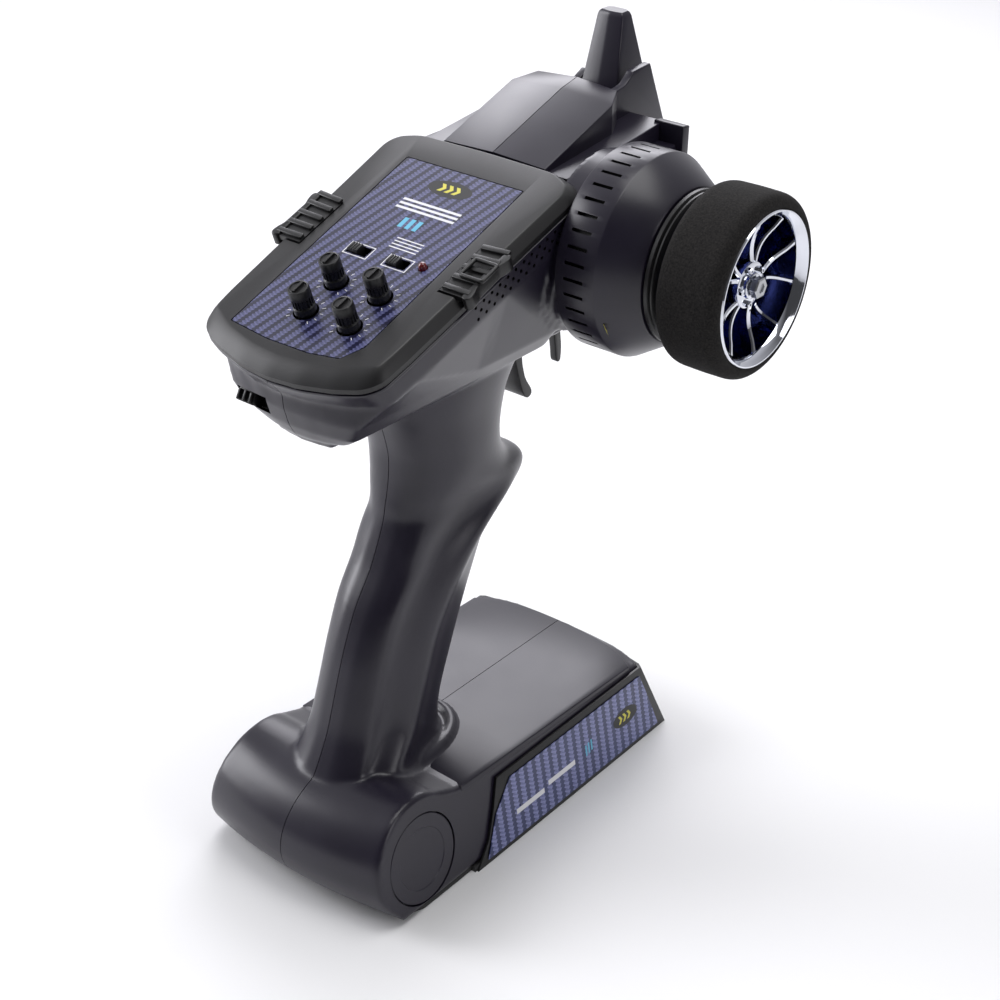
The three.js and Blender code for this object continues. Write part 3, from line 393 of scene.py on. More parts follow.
def mixed(tree, factor, a, b):
    node = tree.nodes.new("ShaderNodeMix")
    node.data_type = "RGBA"
    for socket, value in ((node.inputs[0], factor), (node.inputs[6], a), (node.inputs[7], b)):
        if isinstance(value, (tuple, list)):
            socket.default_value = (*value, 1)
        elif isinstance(value, (int, float)):
            socket.default_value = value
        else:
            tree.links.new(value, socket)
    return node.outputs[2]


def spread(tree, value, low, high):
    node = tree.nodes.new("ShaderNodeMapRange")
    tree.links.new(value, node.inputs["Value"])
    node.inputs["From Min"].default_value, node.inputs["From Max"].default_value = 0.25, 0.75
    node.inputs["To Min"].default_value, node.inputs["To Max"].default_value = low, high
    return node.outputs[0]


def finish(name, dark, light, rough, grain=3000.0, depth=0.02, metal=0.0, dust=0.25, coat=0.0, specular=0.5,
           drift=40.0):
    material = bpy.data.materials.new(name)
    material.use_nodes = True
    tree = material.node_tree
    skin = tree.nodes["Principled BSDF"]
    tone = group_node(tree, DRIFT, Scale=drift, Dust=dust)
    base = mixed(tree, spread(tree, tone.outputs["Tone"], 0, 1), dark, light)
    base = mixed(tree, tone.outputs["Dust"], base, (0.35, 0.34, 0.33))
    tree.links.new(base, skin.inputs["Base Color"])
    tree.links.new(spread(tree, tone.outputs["Tone"], rough[0], rough[1]), skin.inputs["Roughness"])
    bump = tree.nodes.new("ShaderNodeBump")
    bump.inputs["Strength"].default_value, bump.inputs["Distance"].default_value = 0.5, depth * 0.001
    tree.links.new(group_node(tree, GRAIN, Scale=grain).outputs["Height"], bump.inputs["Height"])
    tree.links.new(bump.outputs[0], skin.inputs["Normal"])
    skin.inputs["Metallic"].default_value = metal
    skin.inputs["Coat Weight"].default_value = coat
    skin.inputs["Coat Roughness"].default_value = 0.15
    skin.inputs["Specular IOR Level"].default_value = specular
    return material


BODY = finish("satin_violet_charcoal", (0.0100, 0.0080, 0.0165), (0.0150, 0.0125, 0.0240), (0.28, 0.35),
              2600, 0.015, dust=0.03)
LID = finish("matt_graphite", (0.0050, 0.0048, 0.0054), (0.0074, 0.0072, 0.0080), (0.40, 0.48), 3400, 0.03,
             dust=0.03)
DARK = finish("black_moulding", (0.0040, 0.0040, 0.0045), (0.0068, 0.0066, 0.0072), (0.32, 0.42), 3000, 0.02,
              dust=0.02)
FOAM = finish("open_foam", (0.0025, 0.0025, 0.0028), (0.026, 0.024, 0.023), (0.85, 0.95), 1700, 0.35,
              dust=0.08,
              specular=0.2, drift=1500.0)
CHROME = finish("bright_chrome", (0.70, 0.72, 0.78), (0.80, 0.82, 0.88), (0.05, 0.09), 2000, 0.002, metal=1,
                dust=0)
# Dark blue chrome for the deep inside of the rim: its colour holds painted shade and a painted blue
# reflection.
SHADED_BLUE_CHROME = finish("chrome_with_painted_shade", (0.020, 0.030, 0.130), (0.045, 0.060, 0.220), (0.10, 0.18), 2000, 0.004,
                metal=1, dust=0)
STEEL = finish("plain_steel", (0.42, 0.43, 0.45), (0.55, 0.56, 0.58), (0.28, 0.38), 2400, 0.02, metal=1,
               dust=0)
BRASS = finish("turned_brass", (0.55, 0.40, 0.16), (0.66, 0.50, 0.22), (0.25, 0.35), 2400, 0.02, metal=1,
               dust=0)
LENS = finish("red_lens", (0.10, 0.006, 0.008), (0.14, 0.010, 0.012), (0.08, 0.14), 800, 0.004, coat=0.6,
              dust=0)
WRAP = finish("cell_wrap", (0.01, 0.09, 0.035), (0.015, 0.12, 0.05), (0.22, 0.3), 1200, 0.01, coat=0.4)
BOARD = finish("solder_mask", (0.008, 0.06, 0.02), (0.012, 0.08, 0.03), (0.3, 0.4), 2000, 0.02)
WHITE_INK = finish("white_ink", (0.70, 0.70, 0.72), (0.80, 0.80, 0.82), (0.4, 0.5), 3000, 0.01)
CYAN_INK = finish("cyan_ink", (0.10, 0.42, 0.62), (0.14, 0.50, 0.70), (0.4, 0.5), 3000, 0.01)
YELLOW_INK = finish("yellow_ink", (0.60, 0.55, 0.06), (0.68, 0.62, 0.08), (0.4, 0.5), 3000, 0.01)

# %% [markdown]
# ## The body shells
# The grip, the barrel, the hull and the belly flow into each other like one casting. Drawing that as one
# mesh is hard, so each part is lofted on its own and a voxel remesh melts them together, with a fillet
# where they meet. The crisp parts on top, the hump, shelves, ears and flange, are added afterwards.

# %% the barrel and its plate
BARREL_Z, BARREL_R, RIM_Z, SIDE_LEAN = 22.3, 24.2, 2.8, 0.19


def side_plane(z):
    return 44.2 + (BARREL_Z - z) * SIDE_LEAN


def plate_top(f, edge):
    """Height of the base's top. f runs from the barrel to the front, edge from the middle to a side."""
    return lerp(38.4, 37.2, f) - edge**0.5 * lerp(0.6, 2.6, f)


def base_rings():
    rings = []
    for u in np.concatenate([[-1, -0.992, -0.975], np.linspace(-0.94, 0.94, 25), [0.975, 0.992, 1]]):
        soft = {1: 1.3, 0.992: 0.5, 0.975: 0.12}.get(round(abs(u), 3), 0)
        bow, edge, r, ring = 1 - u * u, u**4, BARREL_R - soft, []
        for t in np.linspace(0, 1, 36):
            a = math.radians(lerp(-52, -212, t))
            ring.append((r * math.sin(a) - 6.5 * bow * max(0, -math.sin(a)), BARREL_Z - r * math.cos(a)))

        def top(f):
            return plate_top(f, edge) - soft

        front = 143.5 - 6.5 * edge - soft
        ring += [(24, top(0) + 0.6), (31, top(0.05)), (60, top(0.35)), (90, top(0.6)), (front - 2, top(1))]
        ring += [(front - 0.4, top(1) - 0.6), (front + 0.6, top(1) - 1.6), (front + 5.6, 32.6)]
        ring += [(front + 6.0, 31.6), (front + 11.4, RIM_Z + 8)]
        ring += [(front + 14.4, RIM_Z), (6, RIM_Z), (-r * 0.62, RIM_Z)]
        rings.append([(u * side_plane(max(z, RIM_Z)), y, max(z, RIM_Z)) for y, z in ring])
    return rings


# %% the grip
# Height, rear, front, half width, how far back the side crease stands, and how strong it is.
GRIP = [
    (34, -21, 58, 28, 4, 0.6), (40, -15.5, 55.5, 25.5, 6, 0.9), (46, -11, 55, 22.8, 10, 1),
    (54, -6.6, 55.6, 20.8, 18, 1), (62, -3, 58, 19.6, 23.5, 1), (76, 1.4, 64, 19, 29, 1),
    (92, 6.6, 70.6, 19, 34.5, 1), (108, 13.6, 76.6, 19.5, 44, 1), (120, 21.6, 80.6, 20, 54, 1),
    (128, 25.6, 86, 20, 63, 1), (134, 28.2, 97.6, 19.6, 72, 0.8), (139, 30, 104, 19, 80, 0.5),
    (143.5, 30.8, 102, 19, 84, 0.3), (149, 32, 92, 19.8, 76, 0.15), (156, 33, 87, 20.4, 70, 0),
    (165, 33, 85, 21.2, 65, 0), (176, 30, 86, 22.4, 60, 0), (187, 26, 89, 24.4, 60, 0),
    (204, 22, 99, 28, 60, 0),
]


def grip_ring(row, count=40):
    z, rear, front, half, crease, strength = row
    plan = [(0, rear), (0.36 * half, rear + 1.2), (0.72 * half, rear + 6.4),
            (0.78 * half, lerp(rear, crease, 0.55)),
            (1.03 * half, crease), (0.86 * half, lerp(crease, front, 0.35)),
            (0.56 * half, lerp(crease, front, 0.8)),
            (0, front)]
    left = [(-x, y) for x, y in plan[1:-1]][::-1]
    loop = plan + left
    creased = smooth_rows(loop + [loop[0]], 8)[:-1]
    out, n = [], len(creased)
    for i, (x, y) in enumerate(creased):
        a = i / n * 2 * math.pi
        c, s = math.cos(a), math.sin(a)
        ex = half * math.copysign(abs(s) ** 0.8, s)
        ey = (rear + front) / 2 - (front - rear) / 2 * math.copysign(abs(c) ** 0.9, c)
        out.append((lerp(ex, x, strength), lerp(ey, y, strength), z))
    return out


# %% the head
PANEL_TILT = math.radians(19.66)
PANEL = Matrix.Translation((0, -15.9, 227.4)) @ Matrix.Rotation(PANEL_TILT, 4, "X")
LID_FRONT, LID_HALF, LID_CORNER = 113.0, 43.0, 104.0


def lid_side(y):
    return lerp(LID_HALF - 3, LID_HALF, y / LID_CORNER)


def head_outline(inset, tail=None):
    tail = inset if tail is None else tail
    front = LID_FRONT - inset

    def side(y):
        return lid_side(y) - inset

    right = [(0, -14 + tail), (13, -12.8 + tail), (26, -9.4 + tail), (35.5 - inset * 0.8, -5.4 + tail),
             (side(0) - 0.4, 0.4 + tail * 0.4), (side(12), 12), (side(60), 60), (side(LID_CORNER), front - 9),
             (LID_HALF - inset - 2.5, front - 4), (30, front - 0.6), (0, front)]
    loop = right + [(-x, y) for x, y in right[1:-1]][::-1]
    return rounded(loop, 3, 4)


HULL = [(204, 33, -20.3, 98), (197, 28.4, -18, 97), (192.4, 21.4, -15.2, 96), (190.4, 15.6, -12.8, 95)]


def hull_rings():
    upper, lower = head_outline(0.6), head_outline(0.8, 4.2)
    rings = [[PANEL @ Vector((x, y, h)) for x, y in loop] for loop, h in ((upper, -6.2), (lower, -15.4))]
    for z, half, rear, front in HULL:
        ring = []
        for x, y in lower:
            bow = lerp(0.45, 1, min(max((y - 2) / 9, 0), 1))
            along = min(max(bow * (y + 12) / (LID_FRONT + 12), 0), 1)
            ring.append((x / LID_HALF * half, lerp(rear, front, along), z))
        rings.append(ring)
    return rings


def belly():
    side = [(70, 250), (90, 257), (138, 259), (152, 261), (160, 258), (176, 254), (178.5, 249), (174, 230),
            (160, 214), (141, 205), (124, 200), (99, 200), (86, 206), (74, 220)]
    half = [(41, 60), (41, 150), (34, 160), (20, 173), (8, 178.5)]
    cheek = [(31, 196), (41, 232), (41, 300)]
    body = thing("belly", prism(rounded(side, 5, 3), -60, 60, "x"))
    plan = half + [(-x, y) for x, y in half[::-1]]
    carved(body, thing("plan", prism(rounded(plan, 5, 3), 150, 300, "z")), "INTERSECT")
    section = cheek + [(-x, z) for x, z in cheek[::-1]]
    return carved(body, thing("cheeks", prism(section, 50, 190, "y")), "INTERSECT")


# The raised lip round the front of the grip's foot.
LIP = [(15.5, 13), (19.5, 19), (20.2, 28), (19.4, 38), (17.2, 47), (12.5, 55), (6.5, 59.6), (0, 61)]


def lip():
    path = smooth_rows(LIP + [(-x, y) for x, y in LIP[:-1][::-1]], 5)
    rings = []
    for i, (x, y) in enumerate(path):
        a, b = path[max(i - 1, 0)], path[min(i + 1, len(path) - 1)]
        along = Vector((b[0] - a[0], b[1] - a[1], 0)).normalized()
        out = Vector((along.y, -along.x, 0))
        rings.append([tuple(Vector((x, y, 38.6)) + out * 2.1 * math.cos(t) + Vector((0, 0,
                                                                                     2.4 * math.sin(t))))
                      for t in full_turn(14)])
    return loft(rings)


# %% melt them together
def tab():
    def ring(z, half, rear):
        return [(-half, rear + 1.6, z), (0, rear, z), (half, rear + 1.6, z), (half, 6, z), (-half, 6, z)]

    return loft([ring(187.4, 8.5, -8.4), ring(189, 12.5, -11.4), ring(193, 14.1, -12)])


WHEEL_Y, WHEEL_Z = 108.3, 235.0
lumps = [
    thing("base", loft(base_rings())), thing("grip", loft([grip_ring(r) for r in smooth_rows(GRIP, 4)])),
    thing("hull", loft(hull_rings())), belly(), thing("tab", tab()), thing("lip", lip()),
    thing("boss", rod(16.5, -21, 21, 107, 208.5, 64, 2)),
    thing("pad", rod(33, 34, 43.3, WHEEL_Y, WHEEL_Z, 96)),
]
rough = joined("rough_shell", *lumps)
remesh = rough.modifiers.new("melt", "REMESH")
remesh.mode, remesh.voxel_size = "VOXEL", 1.05
baked(rough)


def relaxed(obj, rounds, weight_of):
    """Pulls each point towards its neighbours, more where weight_of says so, and swells back to keep size."""
    mesh = obj.data
    co = np.empty(len(mesh.vertices) * 3)
    mesh.vertices.foreach_get("co", co)
    co = co.reshape(-1, 3)
    ends = np.empty(len(mesh.edges) * 2, int)
    mesh.edges.foreach_get("vertices", ends)
    a, b = ends.reshape(-1, 2).T
    degree = np.bincount(a, minlength=len(co)) + np.bincount(b, minlength=len(co))
    weight = weight_of(co)[:, None]
    for i in range(rounds):
        total = np.zeros_like(co)
        for k in range(3):
            total[:, k] = np.bincount(a, co[b, k], len(co)) + np.bincount(b, co[a, k], len(co))
        step = total / np.maximum(degree, 1)[:, None] - co
        co = co + step * weight * (0.55 if i % 2 == 0 else -0.5 * (1 - weight))
    mesh.vertices.foreach_set("co", co.ravel())
    mesh.update()


def soft_zones(co):
    x, y, z = co.T
    foot = np.exp(-(((z - 43) / 8) ** 2)) * ((np.abs(x) < 34) & (y > -30) & (y < 72))
    neck = np.exp(-(((z - 184) / 10) ** 2)) * 0.4
    return np.clip(0.2 + foot * 0.5 + neck, 0, 0.9)


relaxed(rough, 14, soft_zones)

# %% [markdown]
# Openings come next: the bay over the cells, the slot the trigger swings in, the recesses of the end caps,
# the slot of the power key and the deep holes of the shell screws on the left.

# %% openings
SHELL_SCREWS = [(14, 206), (132, 222), (52, 112), (36, 66)]
CAP_Z = 21.3
CAP_FACE = Matrix.Translation((side_plane(CAP_Z), 0, CAP_Z)) @ Matrix.Rotation(-math.atan(SIDE_LEAN), 4, "Y")


def on_cap_face(bm, side):
    moved(bm, CAP_FACE)
    if side < 0:
        bmesh.ops.scale(bm, vec=(-1, 1, 1), verts=bm.verts)
        bmesh.ops.recalc_face_normals(bm, faces=bm.faces)
    return bm


REAR_WALL = Matrix.Translation((-17.2, -16.5, 200.8)) @ Matrix.Rotation(math.radians(-27), 4, "X")


# Rows of small blind holes along both sides of the head. Their walls take the black moulding finish: painted
# shade in the holes.
def dimple_row(side, row):
    along, h = 47.5 + 2.2 * (row % 2), -8.9 - 2.5 * row
    start = PANEL @ Vector((side * (lid_side(along) - 1.7), along, h))
    step = PANEL.to_3x3() @ Vector((side * 0.127, 4.4, 0))
    hole = rod(0.72, *sorted((0, side * 4)), 0, 0, 10)
    return repeated("dimples", hole, DARK, 12, step=step, place=start)


TRIGGER_MOUTH = [(86.8, 178), (86.8, 192), (90, 206), (97, 213), (119, 213), (127, 207), (127, 178)]
rough.data.materials.append(BODY)
openings = [
    thing("bay", block(-40.5, 40.5, -6, 136, -5, 33.5)),
    thing("mouth", prism(rounded(TRIGGER_MOUTH, 2, 3), -6.6, 6.6, "x")),
    thing("shaft", rod(9, 8, 60, WHEEL_Y, WHEEL_Z)),
    thing("hub", rod(11.2, -6.59, 6.59, 107, 210)),
    *[thing("cap", on_cap_face(rod(18.4, -2, 12, 0, 0, 96), side)) for side in (1, -1)],
    # The power key's slot walls take the black moulding finish: painted shade in the slot.
    thing("key", moved(block(-8.6, 8.6, -6, 9, -2.6, 2.6), REAR_WALL), DARK),
    *[thing(f"hole{i}", rod(3.2, -60, -6, y, z, 32)) for i, (y, z) in enumerate(SHELL_SCREWS)],
    *[dimple_row(side, row) for side in (1, -1) for row in range(3)],
]
for tool in openings:
    carved(rough, tool)

# %% [markdown]
# The crisp parts are straight-sided, so they are plain lofts and prisms with a small bevel. They overlap
# the melted shell and are then split with it along the middle plane, where the two mouldings meet.

# %% hump, shelves, ears, flange
def hump():
    rows = [(84, 260, 23.2, 1.0), (91.4, 262.5, 23.2, 1.2), (131.6, 276.1, 23.2, 1.4),
            (141.4, 278.2, 18.2, 1.4)]
    return loft([[(-h - 0.6, y, 254), (h + 0.6, y, 254), (h, y, z), (0, y, z + c), (-h, y, z)]
                 for y, z, h, c in rows])


def shelf():
    return loft([[(-32.6, y, 252), (32.6, y, 252), (32.6, y, z), (-32.6, y, z)] for y, z in
                 ((84, 260.3), (152, 267.3))])


def ears():
    tall = [(138, 256), (138, 277.4), (143.4, 277.8), (147.6, 278.6), (150.6, 280.6), (152, 282.4),
            (163.4, 283.2), (174.6, 259), (172, 250), (150, 250)]
    low = [(138, 256), (138, 276.6), (143.4, 275.4), (150, 271.6), (161, 269.6), (164, 271.2), (168.5, 273.4),
           (171, 271), (174.6, 259), (172, 250), (150, 250)]
    return [thing("ear", prism(tall, 14.4, 17.6, "x")), thing("ear", prism(low, -17.6, -14.4, "x"))]


bridge_plan = [(-15, 138), (15, 138), (15, 169), (9.4, 178), (-9.4, 178), (-15, 169)]
crisp = [thing("hump", hump()), thing("shelf", shelf()), *ears(),
         thing("bridge", prism(bridge_plan, 248, 266, "z")),
         thing("flange", prism([(149, 252), (149, 268), (153.4, 267.4), (153.4, 252)], 30, 43, "x"))]
for part in crisp:
    bevelled(part, 0.5, 3, 25)
trim_at = PANEL @ Vector((0, LID_FRONT + 0.3, 0))
for part in crisp:
    bm = copied(part.data)
    sliced(bm, trim_at, (0, -math.cos(PANEL_TILT), -math.sin(PANEL_TILT)))
    bm.to_mesh(part.data)
    bm.free()


def base_plate():
    """The flat top of the base, drawn crisp: it follows the crown and the bowed front edge."""
    rings = []
    for u in np.linspace(-1, 1, 33):
        edge = u**4
        front = 143.4 - 6.5 * edge

        def top(f):
            return plate_top(f, edge) + 0.2

        ring = [(26, top(0) + 0.1), (60, top(0.3)), (100, top(0.66)), (front, top(1)), (front, top(1) - 2.4),
                (100, top(0.66) - 2.4), (26, top(0) - 2.4)]
        rings.append([(u * (side_plane(z) + 0.12), y, z) for y, z in ring])
    return loft(rings)


def rim_bead():
    """The thin raised edge of the shells right under the lid."""
    levels = [(1.6, 4.5, -6.15), (0.5, 1.2, -6.3), (0.1, 0.5, -6.6), (0, 0.4, -7.1), (0.15, 0.6, -7.6),
              (0.8, 3, -8.0), (1.6, 4.8, -8.1)]
    return moved(outline_loft(levels), PANEL)


def outline_loft(levels):
    return loft([[(x, y, h) for x, y in head_outline(inset, tail)] for inset, tail, h in levels])


crisp += [bevelled(thing("plate", base_plate()), 0.35, 2, 40), thing("bead", rim_bead())]
shell = joined("shell", rough, *crisp)
SEAM = 0.15


def half_shell(source, side, name):
    bm = copied(source.data)
    sliced(bm, (side * SEAM, 0, 0), (-side, 0, 0))
    bmesh.ops.triangulate(bm, faces=[f for f in bm.faces if len(f.verts) > 4])
    half = thing(name, bm, *source.data.materials)
    return finished(half, "handset", None, "body", name.replace("shell", "housing"), sharp=40)


half_shell(shell, 1, "shell_right")
half_shell(shell, -1, "shell_left")
bpy.data.objects.remove(shell)

# %% [markdown]
# ## Lid and printed film
# The lid is one loft with a rounded shoulder. Its wells, key slots and clip seats are cut out, and the
# film lies in a shallow recess. Everything on the panel is drawn flat and then tipped to its slope.

# %% lid
def on_panel(obj, body, material, slot, *replaced):
    obj.data.transform(PANEL)
    return finished(obj, body, material, slot, *replaced)


KNOBS = [(x, y) for y in (14.5, 30.6) for x in (-4.6, 15.0)]
KEYS = [(-8.4, 47.4), (9.1, 47.4)]
LED = (19.0, 49.0)


def film_outline(inset):
    w, front = 26.3 - inset, 96.8 - inset
    points = [(-w, inset), (-8, inset - 1.8), (10, inset - 1.4), (22, 1 + inset), (w, 9), (w, front),
              (-w, front)]
    return rounded(points, 0.8, 3)


def control_holes(obj):
    for x, y in KNOBS:
        carved(obj, thing("well", turned([(-9, 0), (-9, 4.6), (9, 4.6), (9, 0)], x, y, 48, "z")))
    for x, y in KEYS:
        carved(obj, thing("slot", block(x - 4.5, x + 4.5, y - 2.3, y + 2.3, -9, 9)))
    return carved(obj, thing("lamp", turned([(-9, 0), (-9, 1.9), (9, 1.9), (9, 0)], *LED, 32, "z")))


rows = [(0.3, 0.6, -6), (0.05, 0.4, -5.7), (0, 0.4, -3.8), (0.25, 0.9, -3.4), (1.6, 3.4, -1.5),
        (2.6, 6.4, -0.35),
        (2.9, 7.3, -0.1), (3.3, 7.8, 0)]
lid = thing("lid", outline_loft(rows))
carved(lid, thing("under", outline_loft([(3, 4, -7), (3.4, 7, -3)])))
carved(lid, thing("recess", prism(film_outline(-0.3), -0.8, 5, "z")))
for side in (1, -1):
    carved(lid, thing("seat", block(*sorted((side * 31.2, side * 60)), 41.2, 65.8, -1.9, 9)))
control_holes(lid)
on_panel(lid, "handset", LID, "lid", "top_lid")


def printed_film(name, tilt, across, lean, along, threads, ground):
    """Film with a two-way weave. across and along each name an axis and its repeats in a metre."""
    material = finish(name, ground[0], ground[1], (0.25, 0.34), 1500, 0.004, dust=0.03, coat=0.35)
    tree = material.node_tree
    where = tree.nodes.new("ShaderNodeMapping")
    where.inputs["Rotation"].default_value = (tilt, 0, 0)
    tree.links.new(tree.nodes.new("ShaderNodeTexCoord").outputs["Object"], where.inputs[0])
    split = tree.nodes.new("ShaderNodeSeparateXYZ")
    tree.links.new(where.outputs[0], split.inputs[0])
    weave = group_node(tree, WEAVE)
    leaning = maths(tree, "MULTIPLY", split.outputs[along[0]], lean)
    tree.links.new(maths(tree, "MULTIPLY", maths(tree, "SUBTRACT", split.outputs[across[0]], leaning),
                         across[1]),
                   weave.inputs["Across"])
    tree.links.new(maths(tree, "MULTIPLY", split.outputs[along[0]], along[1]), weave.inputs["Along"])
    skin = tree.nodes["Principled BSDF"]
    below = skin.inputs["Base Color"].links[0].from_socket
    shade = mixed(tree, weave.outputs["Shade"], threads[0], threads[1])
    tree.links.new(mixed(tree, weave.outputs["Strand"], below, shade), skin.inputs["Base Color"])
    return material


PANEL_FILM = printed_film("panel_weave", -PANEL_TILT, (0, 250), 0.227, (1, 740),
                          ((0.045, 0.050, 0.125), (0.115, 0.120, 0.250)),
                          ((0.006, 0.006, 0.024), (0.012, 0.012, 0.044)))
SIDE_FILM = printed_film("side_weave", 0, (1, 190), 0.0, (2, 520),
                         ((0.10, 0.115, 0.27), (0.24, 0.26, 0.50)),
                         ((0.014, 0.022, 0.090), (0.024, 0.036, 0.130)))
film = control_holes(thing("film", prism(film_outline(0.1), -0.5, 0, "z")))
on_panel(film, "handset", PANEL_FILM, "label", "panel_label")
for node in ("side_label_left", "side_label_right"):
    label = bevelled(cad_copy(node, node.replace("label", "film")), 0.08, 1)
    finished(label, "handset", SIDE_FILM, "label", node)

# %% [markdown]
# The print on the film is ink with hardly any thickness. Plain ticks round the knobs, frames round the
# keys and a few bars are enough: they are set out by the repeating tree and carry no words.

# %% ink
INK = 0.03
SKIRT_FOOT, SKIRT_TOP, SKIRT_HIGH, PRINT_Z = 49.8, 43.7, 32, 14


def ink(name, bm, material, count=1, body="handset", matrix=PANEL, **set_out):
    obj = repeated(name, bm, material, count, **set_out)
    obj.data.transform(matrix)
    return finished(obj, body, None, "label")


for i, (x, y) in enumerate(KNOBS):
    ink(f"ticks_{i + 1}", block(-0.14, 0.14, 5.6, 6.9, 0, INK), WHITE_INK, 11,
        turn=(0, 0, math.radians(27)), tilt=(0, 0, math.radians(-135)), place=(x, y, 0.01))
for i, (x, y) in enumerate(KEYS):
    frame_ink = thing("frame", block(x - 5.4, x + 5.4, y - 3.2, y + 3.2, 0, INK))
    carved(frame_ink, thing("inside", block(x - 5.0, x + 5.0, y - 2.8, y + 2.8, -1, 1)))
    bm = copied(frame_ink.data)
    bpy.data.objects.remove(frame_ink)
    ink(f"key_frame_{i + 1}", bm, WHITE_INK, place=(0, 0, 0.01))
ink("bars_white", block(-13, 13, -0.55, 0.55, 0, INK), WHITE_INK, 3, step=(0, -2.2, 0), place=(0.9, 77, 0.01))
ink("bars_cyan", block(-0.9, 0.9, -2.6, 2.6, 0, INK), CYAN_INK, 3, step=(3.2, 0, 0), place=(-3.5, 66, 0.01))
ink("bars_small", block(-6, 6, -0.25, 0.25, 0, INK), WHITE_INK, 4, step=(0, -1.6, 0), place=(6, 58.5, 0.01))
chevron_plan = [(-2.0, -1.8), (-0.6, -1.8), (0.7, 0), (-0.6, 1.8), (-2.0, 1.8), (-0.7, 0)]
for side in (1, -1):
    tilt = math.atan2(SKIRT_FOOT - SKIRT_TOP, SKIRT_HIGH)
    out_by = lerp(SKIRT_FOOT, SKIRT_TOP, PRINT_Z / SKIRT_HIGH) + 0.68
    wall = Matrix.Translation((side * out_by, 0, PRINT_Z)) @ Matrix.Rotation(-side * tilt, 4, "Y")
    wall = wall @ Matrix.Rotation(math.radians(90 * side), 4, "Z") @ Matrix.Rotation(math.radians(90), 4, "X")
    ink(f"side_bars_{side_name(side)}", block(-9, 9, -1.1, 1.1, 0, INK), WHITE_INK, 2,
        step=(side * 21, 1.6, 0), place=(side * 62, -1.5, 0), matrix=wall)
    ink(f"side_waves_{side_name(side)}", block(-0.5, 0.5, -2.4, 2.4, 0, INK), CYAN_INK, 3,
        step=(side * 1.9, 0.5, 0), place=(side * 100, 1.0, 0), matrix=wall)
    oval = prism(ellipse(side * 128, 2.6, 8.5, 3.9, 48), 0, INK, "z")
    side_badge = thing(f"side_badge_{side_name(side)}", oval)
    side_badge.data.transform(wall)
    finished(side_badge, "handset", DARK, "label")
    ink(f"side_chevrons_{side_name(side)}", prism(chevron_plan, 0, INK, "z"), YELLOW_INK, 3,
        step=(3.0, 0, 0), place=(side * 128 - 2.8, 2.6, 0.03), matrix=wall)
badge = thing("badge", prism(ellipse(0, 0, 9.5, 4.2, 64), 0, INK, "z"))
badge.data.transform(Matrix.Translation((0.9, 87.3, 0.01)))
on_panel(badge, "handset", DARK, "label")
ink("badge_chevrons", prism([(-2.2, -2), (-0.6, -2), (0.8, 0), (-0.6, 2), (-2.2, 2), (-0.8, 0)], 0, INK, "z"),
    YELLOW_INK, 3, step=(3.2, 0, 0), place=(-1.6, 87.3, 0.05))

# %% [markdown]
# ## Knobs, keys, lamp and clips
# A trim knob is a turned cap with fine ribs and a raised pointer bar. The keys are short blocks in slots. The
# clips are combs with a stout spine over the lid's edge, and the right one holds a loop for a strap.

# %% trim knobs
KNOB_PROFILE = [(-4.2, 0), (-4.2, 3), (0.3, 3), (0.3, 3.8), (0.6, 4.0), (2.8, 3.95), (3.2, 3.6), (3.5, 3.3),
                (6.2, 3.3), (6.5, 3.5), (6.8, 3.8), (9.9, 3.75), (10.4, 3.5), (10.5, 3.0), (10.1, 2.7),
                (10.1, 0)]
for i, (x, y) in enumerate(KNOBS):
    knob = thing("knob", turned(KNOB_PROFILE, x, y, 64, "z"))
    knob = joined("knob", knob, thing("pointer", block(x - 0.5, x + 0.5, y - 2.6, y + 2.6, 9.8, 11)))
    on_panel(knob, f"trim_dial_{i + 1}", DARK, "dark", f"trim_knob_{i + 1}")
    rib = prism([(-0.3, 3.2), (0.3, 3.2), (0.2, 3.75), (-0.2, 3.75)], 3.3, 9.9, "z")
    ribs = repeated(f"knob_ribs_{i + 1}", rib, DARK, 18, turn=(0, 0, 2 * math.pi / 18), place=(x, y, 0))
    on_panel(ribs, f"trim_dial_{i + 1}", None, "dark")

# %% reverse keys and lamp
for i, (x, y) in enumerate(KEYS):
    x -= 1.4
    key = thing("key", block(x - 2.2, x + 2.2, y - 1.9, y + 1.9, -2.6, 1.6))
    for gap in (-1.1, 0, 1.1):
        carved(key, thing("gap", block(x + gap - 0.22, x + gap + 0.22, y - 3, y + 3, 1.25, 3)))
    bevelled(key, 0.15, 2)
    on_panel(key, f"reverse_key_{i + 1}", DARK, "dark", f"reverse_slider_{i + 1}")
dome = [(-1.5, 0), (-1.5, 1.55), (0.8, 1.55), (1.5, 1.35), (2.0, 0.9), (2.2, 0.4), (2.3, 0)]
lamp = thing("lamp", turned(dome, *LED, 32, "z"))
on_panel(lamp, "handset", LENS, "lens", "status_led")


# %% lid clips
def clip(side):
    name = f"clip_{side_name(side)}"
    plate = thing(name, block(*sorted((side * 31.6, side * 42.4)), 42.0, 65.2, -1.7, 0.25))
    spine_plan = [(41.4, 41.4), (44.0, 40.8), (45.2, 42.6), (44.6, 45.6), (43.8, 47.6), (43.8, 59.4),
                  (44.6, 61.4),
                  (45.2, 64.4), (44.0, 66.2), (41.4, 65.6)]
    spine = prism([(side * x, y) for x, y in rounded(spine_plan, 1.2, 3)], -4.0, 1.1, "z")
    spine = bevelled(thing("spine", spine), 0.5, 3, 50)
    rib = block(*sorted((side * 32.0, side * 43.4)), -1.15, 1.15, 0.1, 1.35)
    ribs = repeated("ribs", rib, DARK, 5, turn=(0, 0, side * 0.02), step=(0, 4.7, 0), place=(0, 44.2, 0))
    whole = joined(name, plate, bevelled(ribs, 0.35, 3), spine)
    return on_panel(whole, "handset", DARK, "dark", f"lid_{name}")


clip(-1)
clip(1)


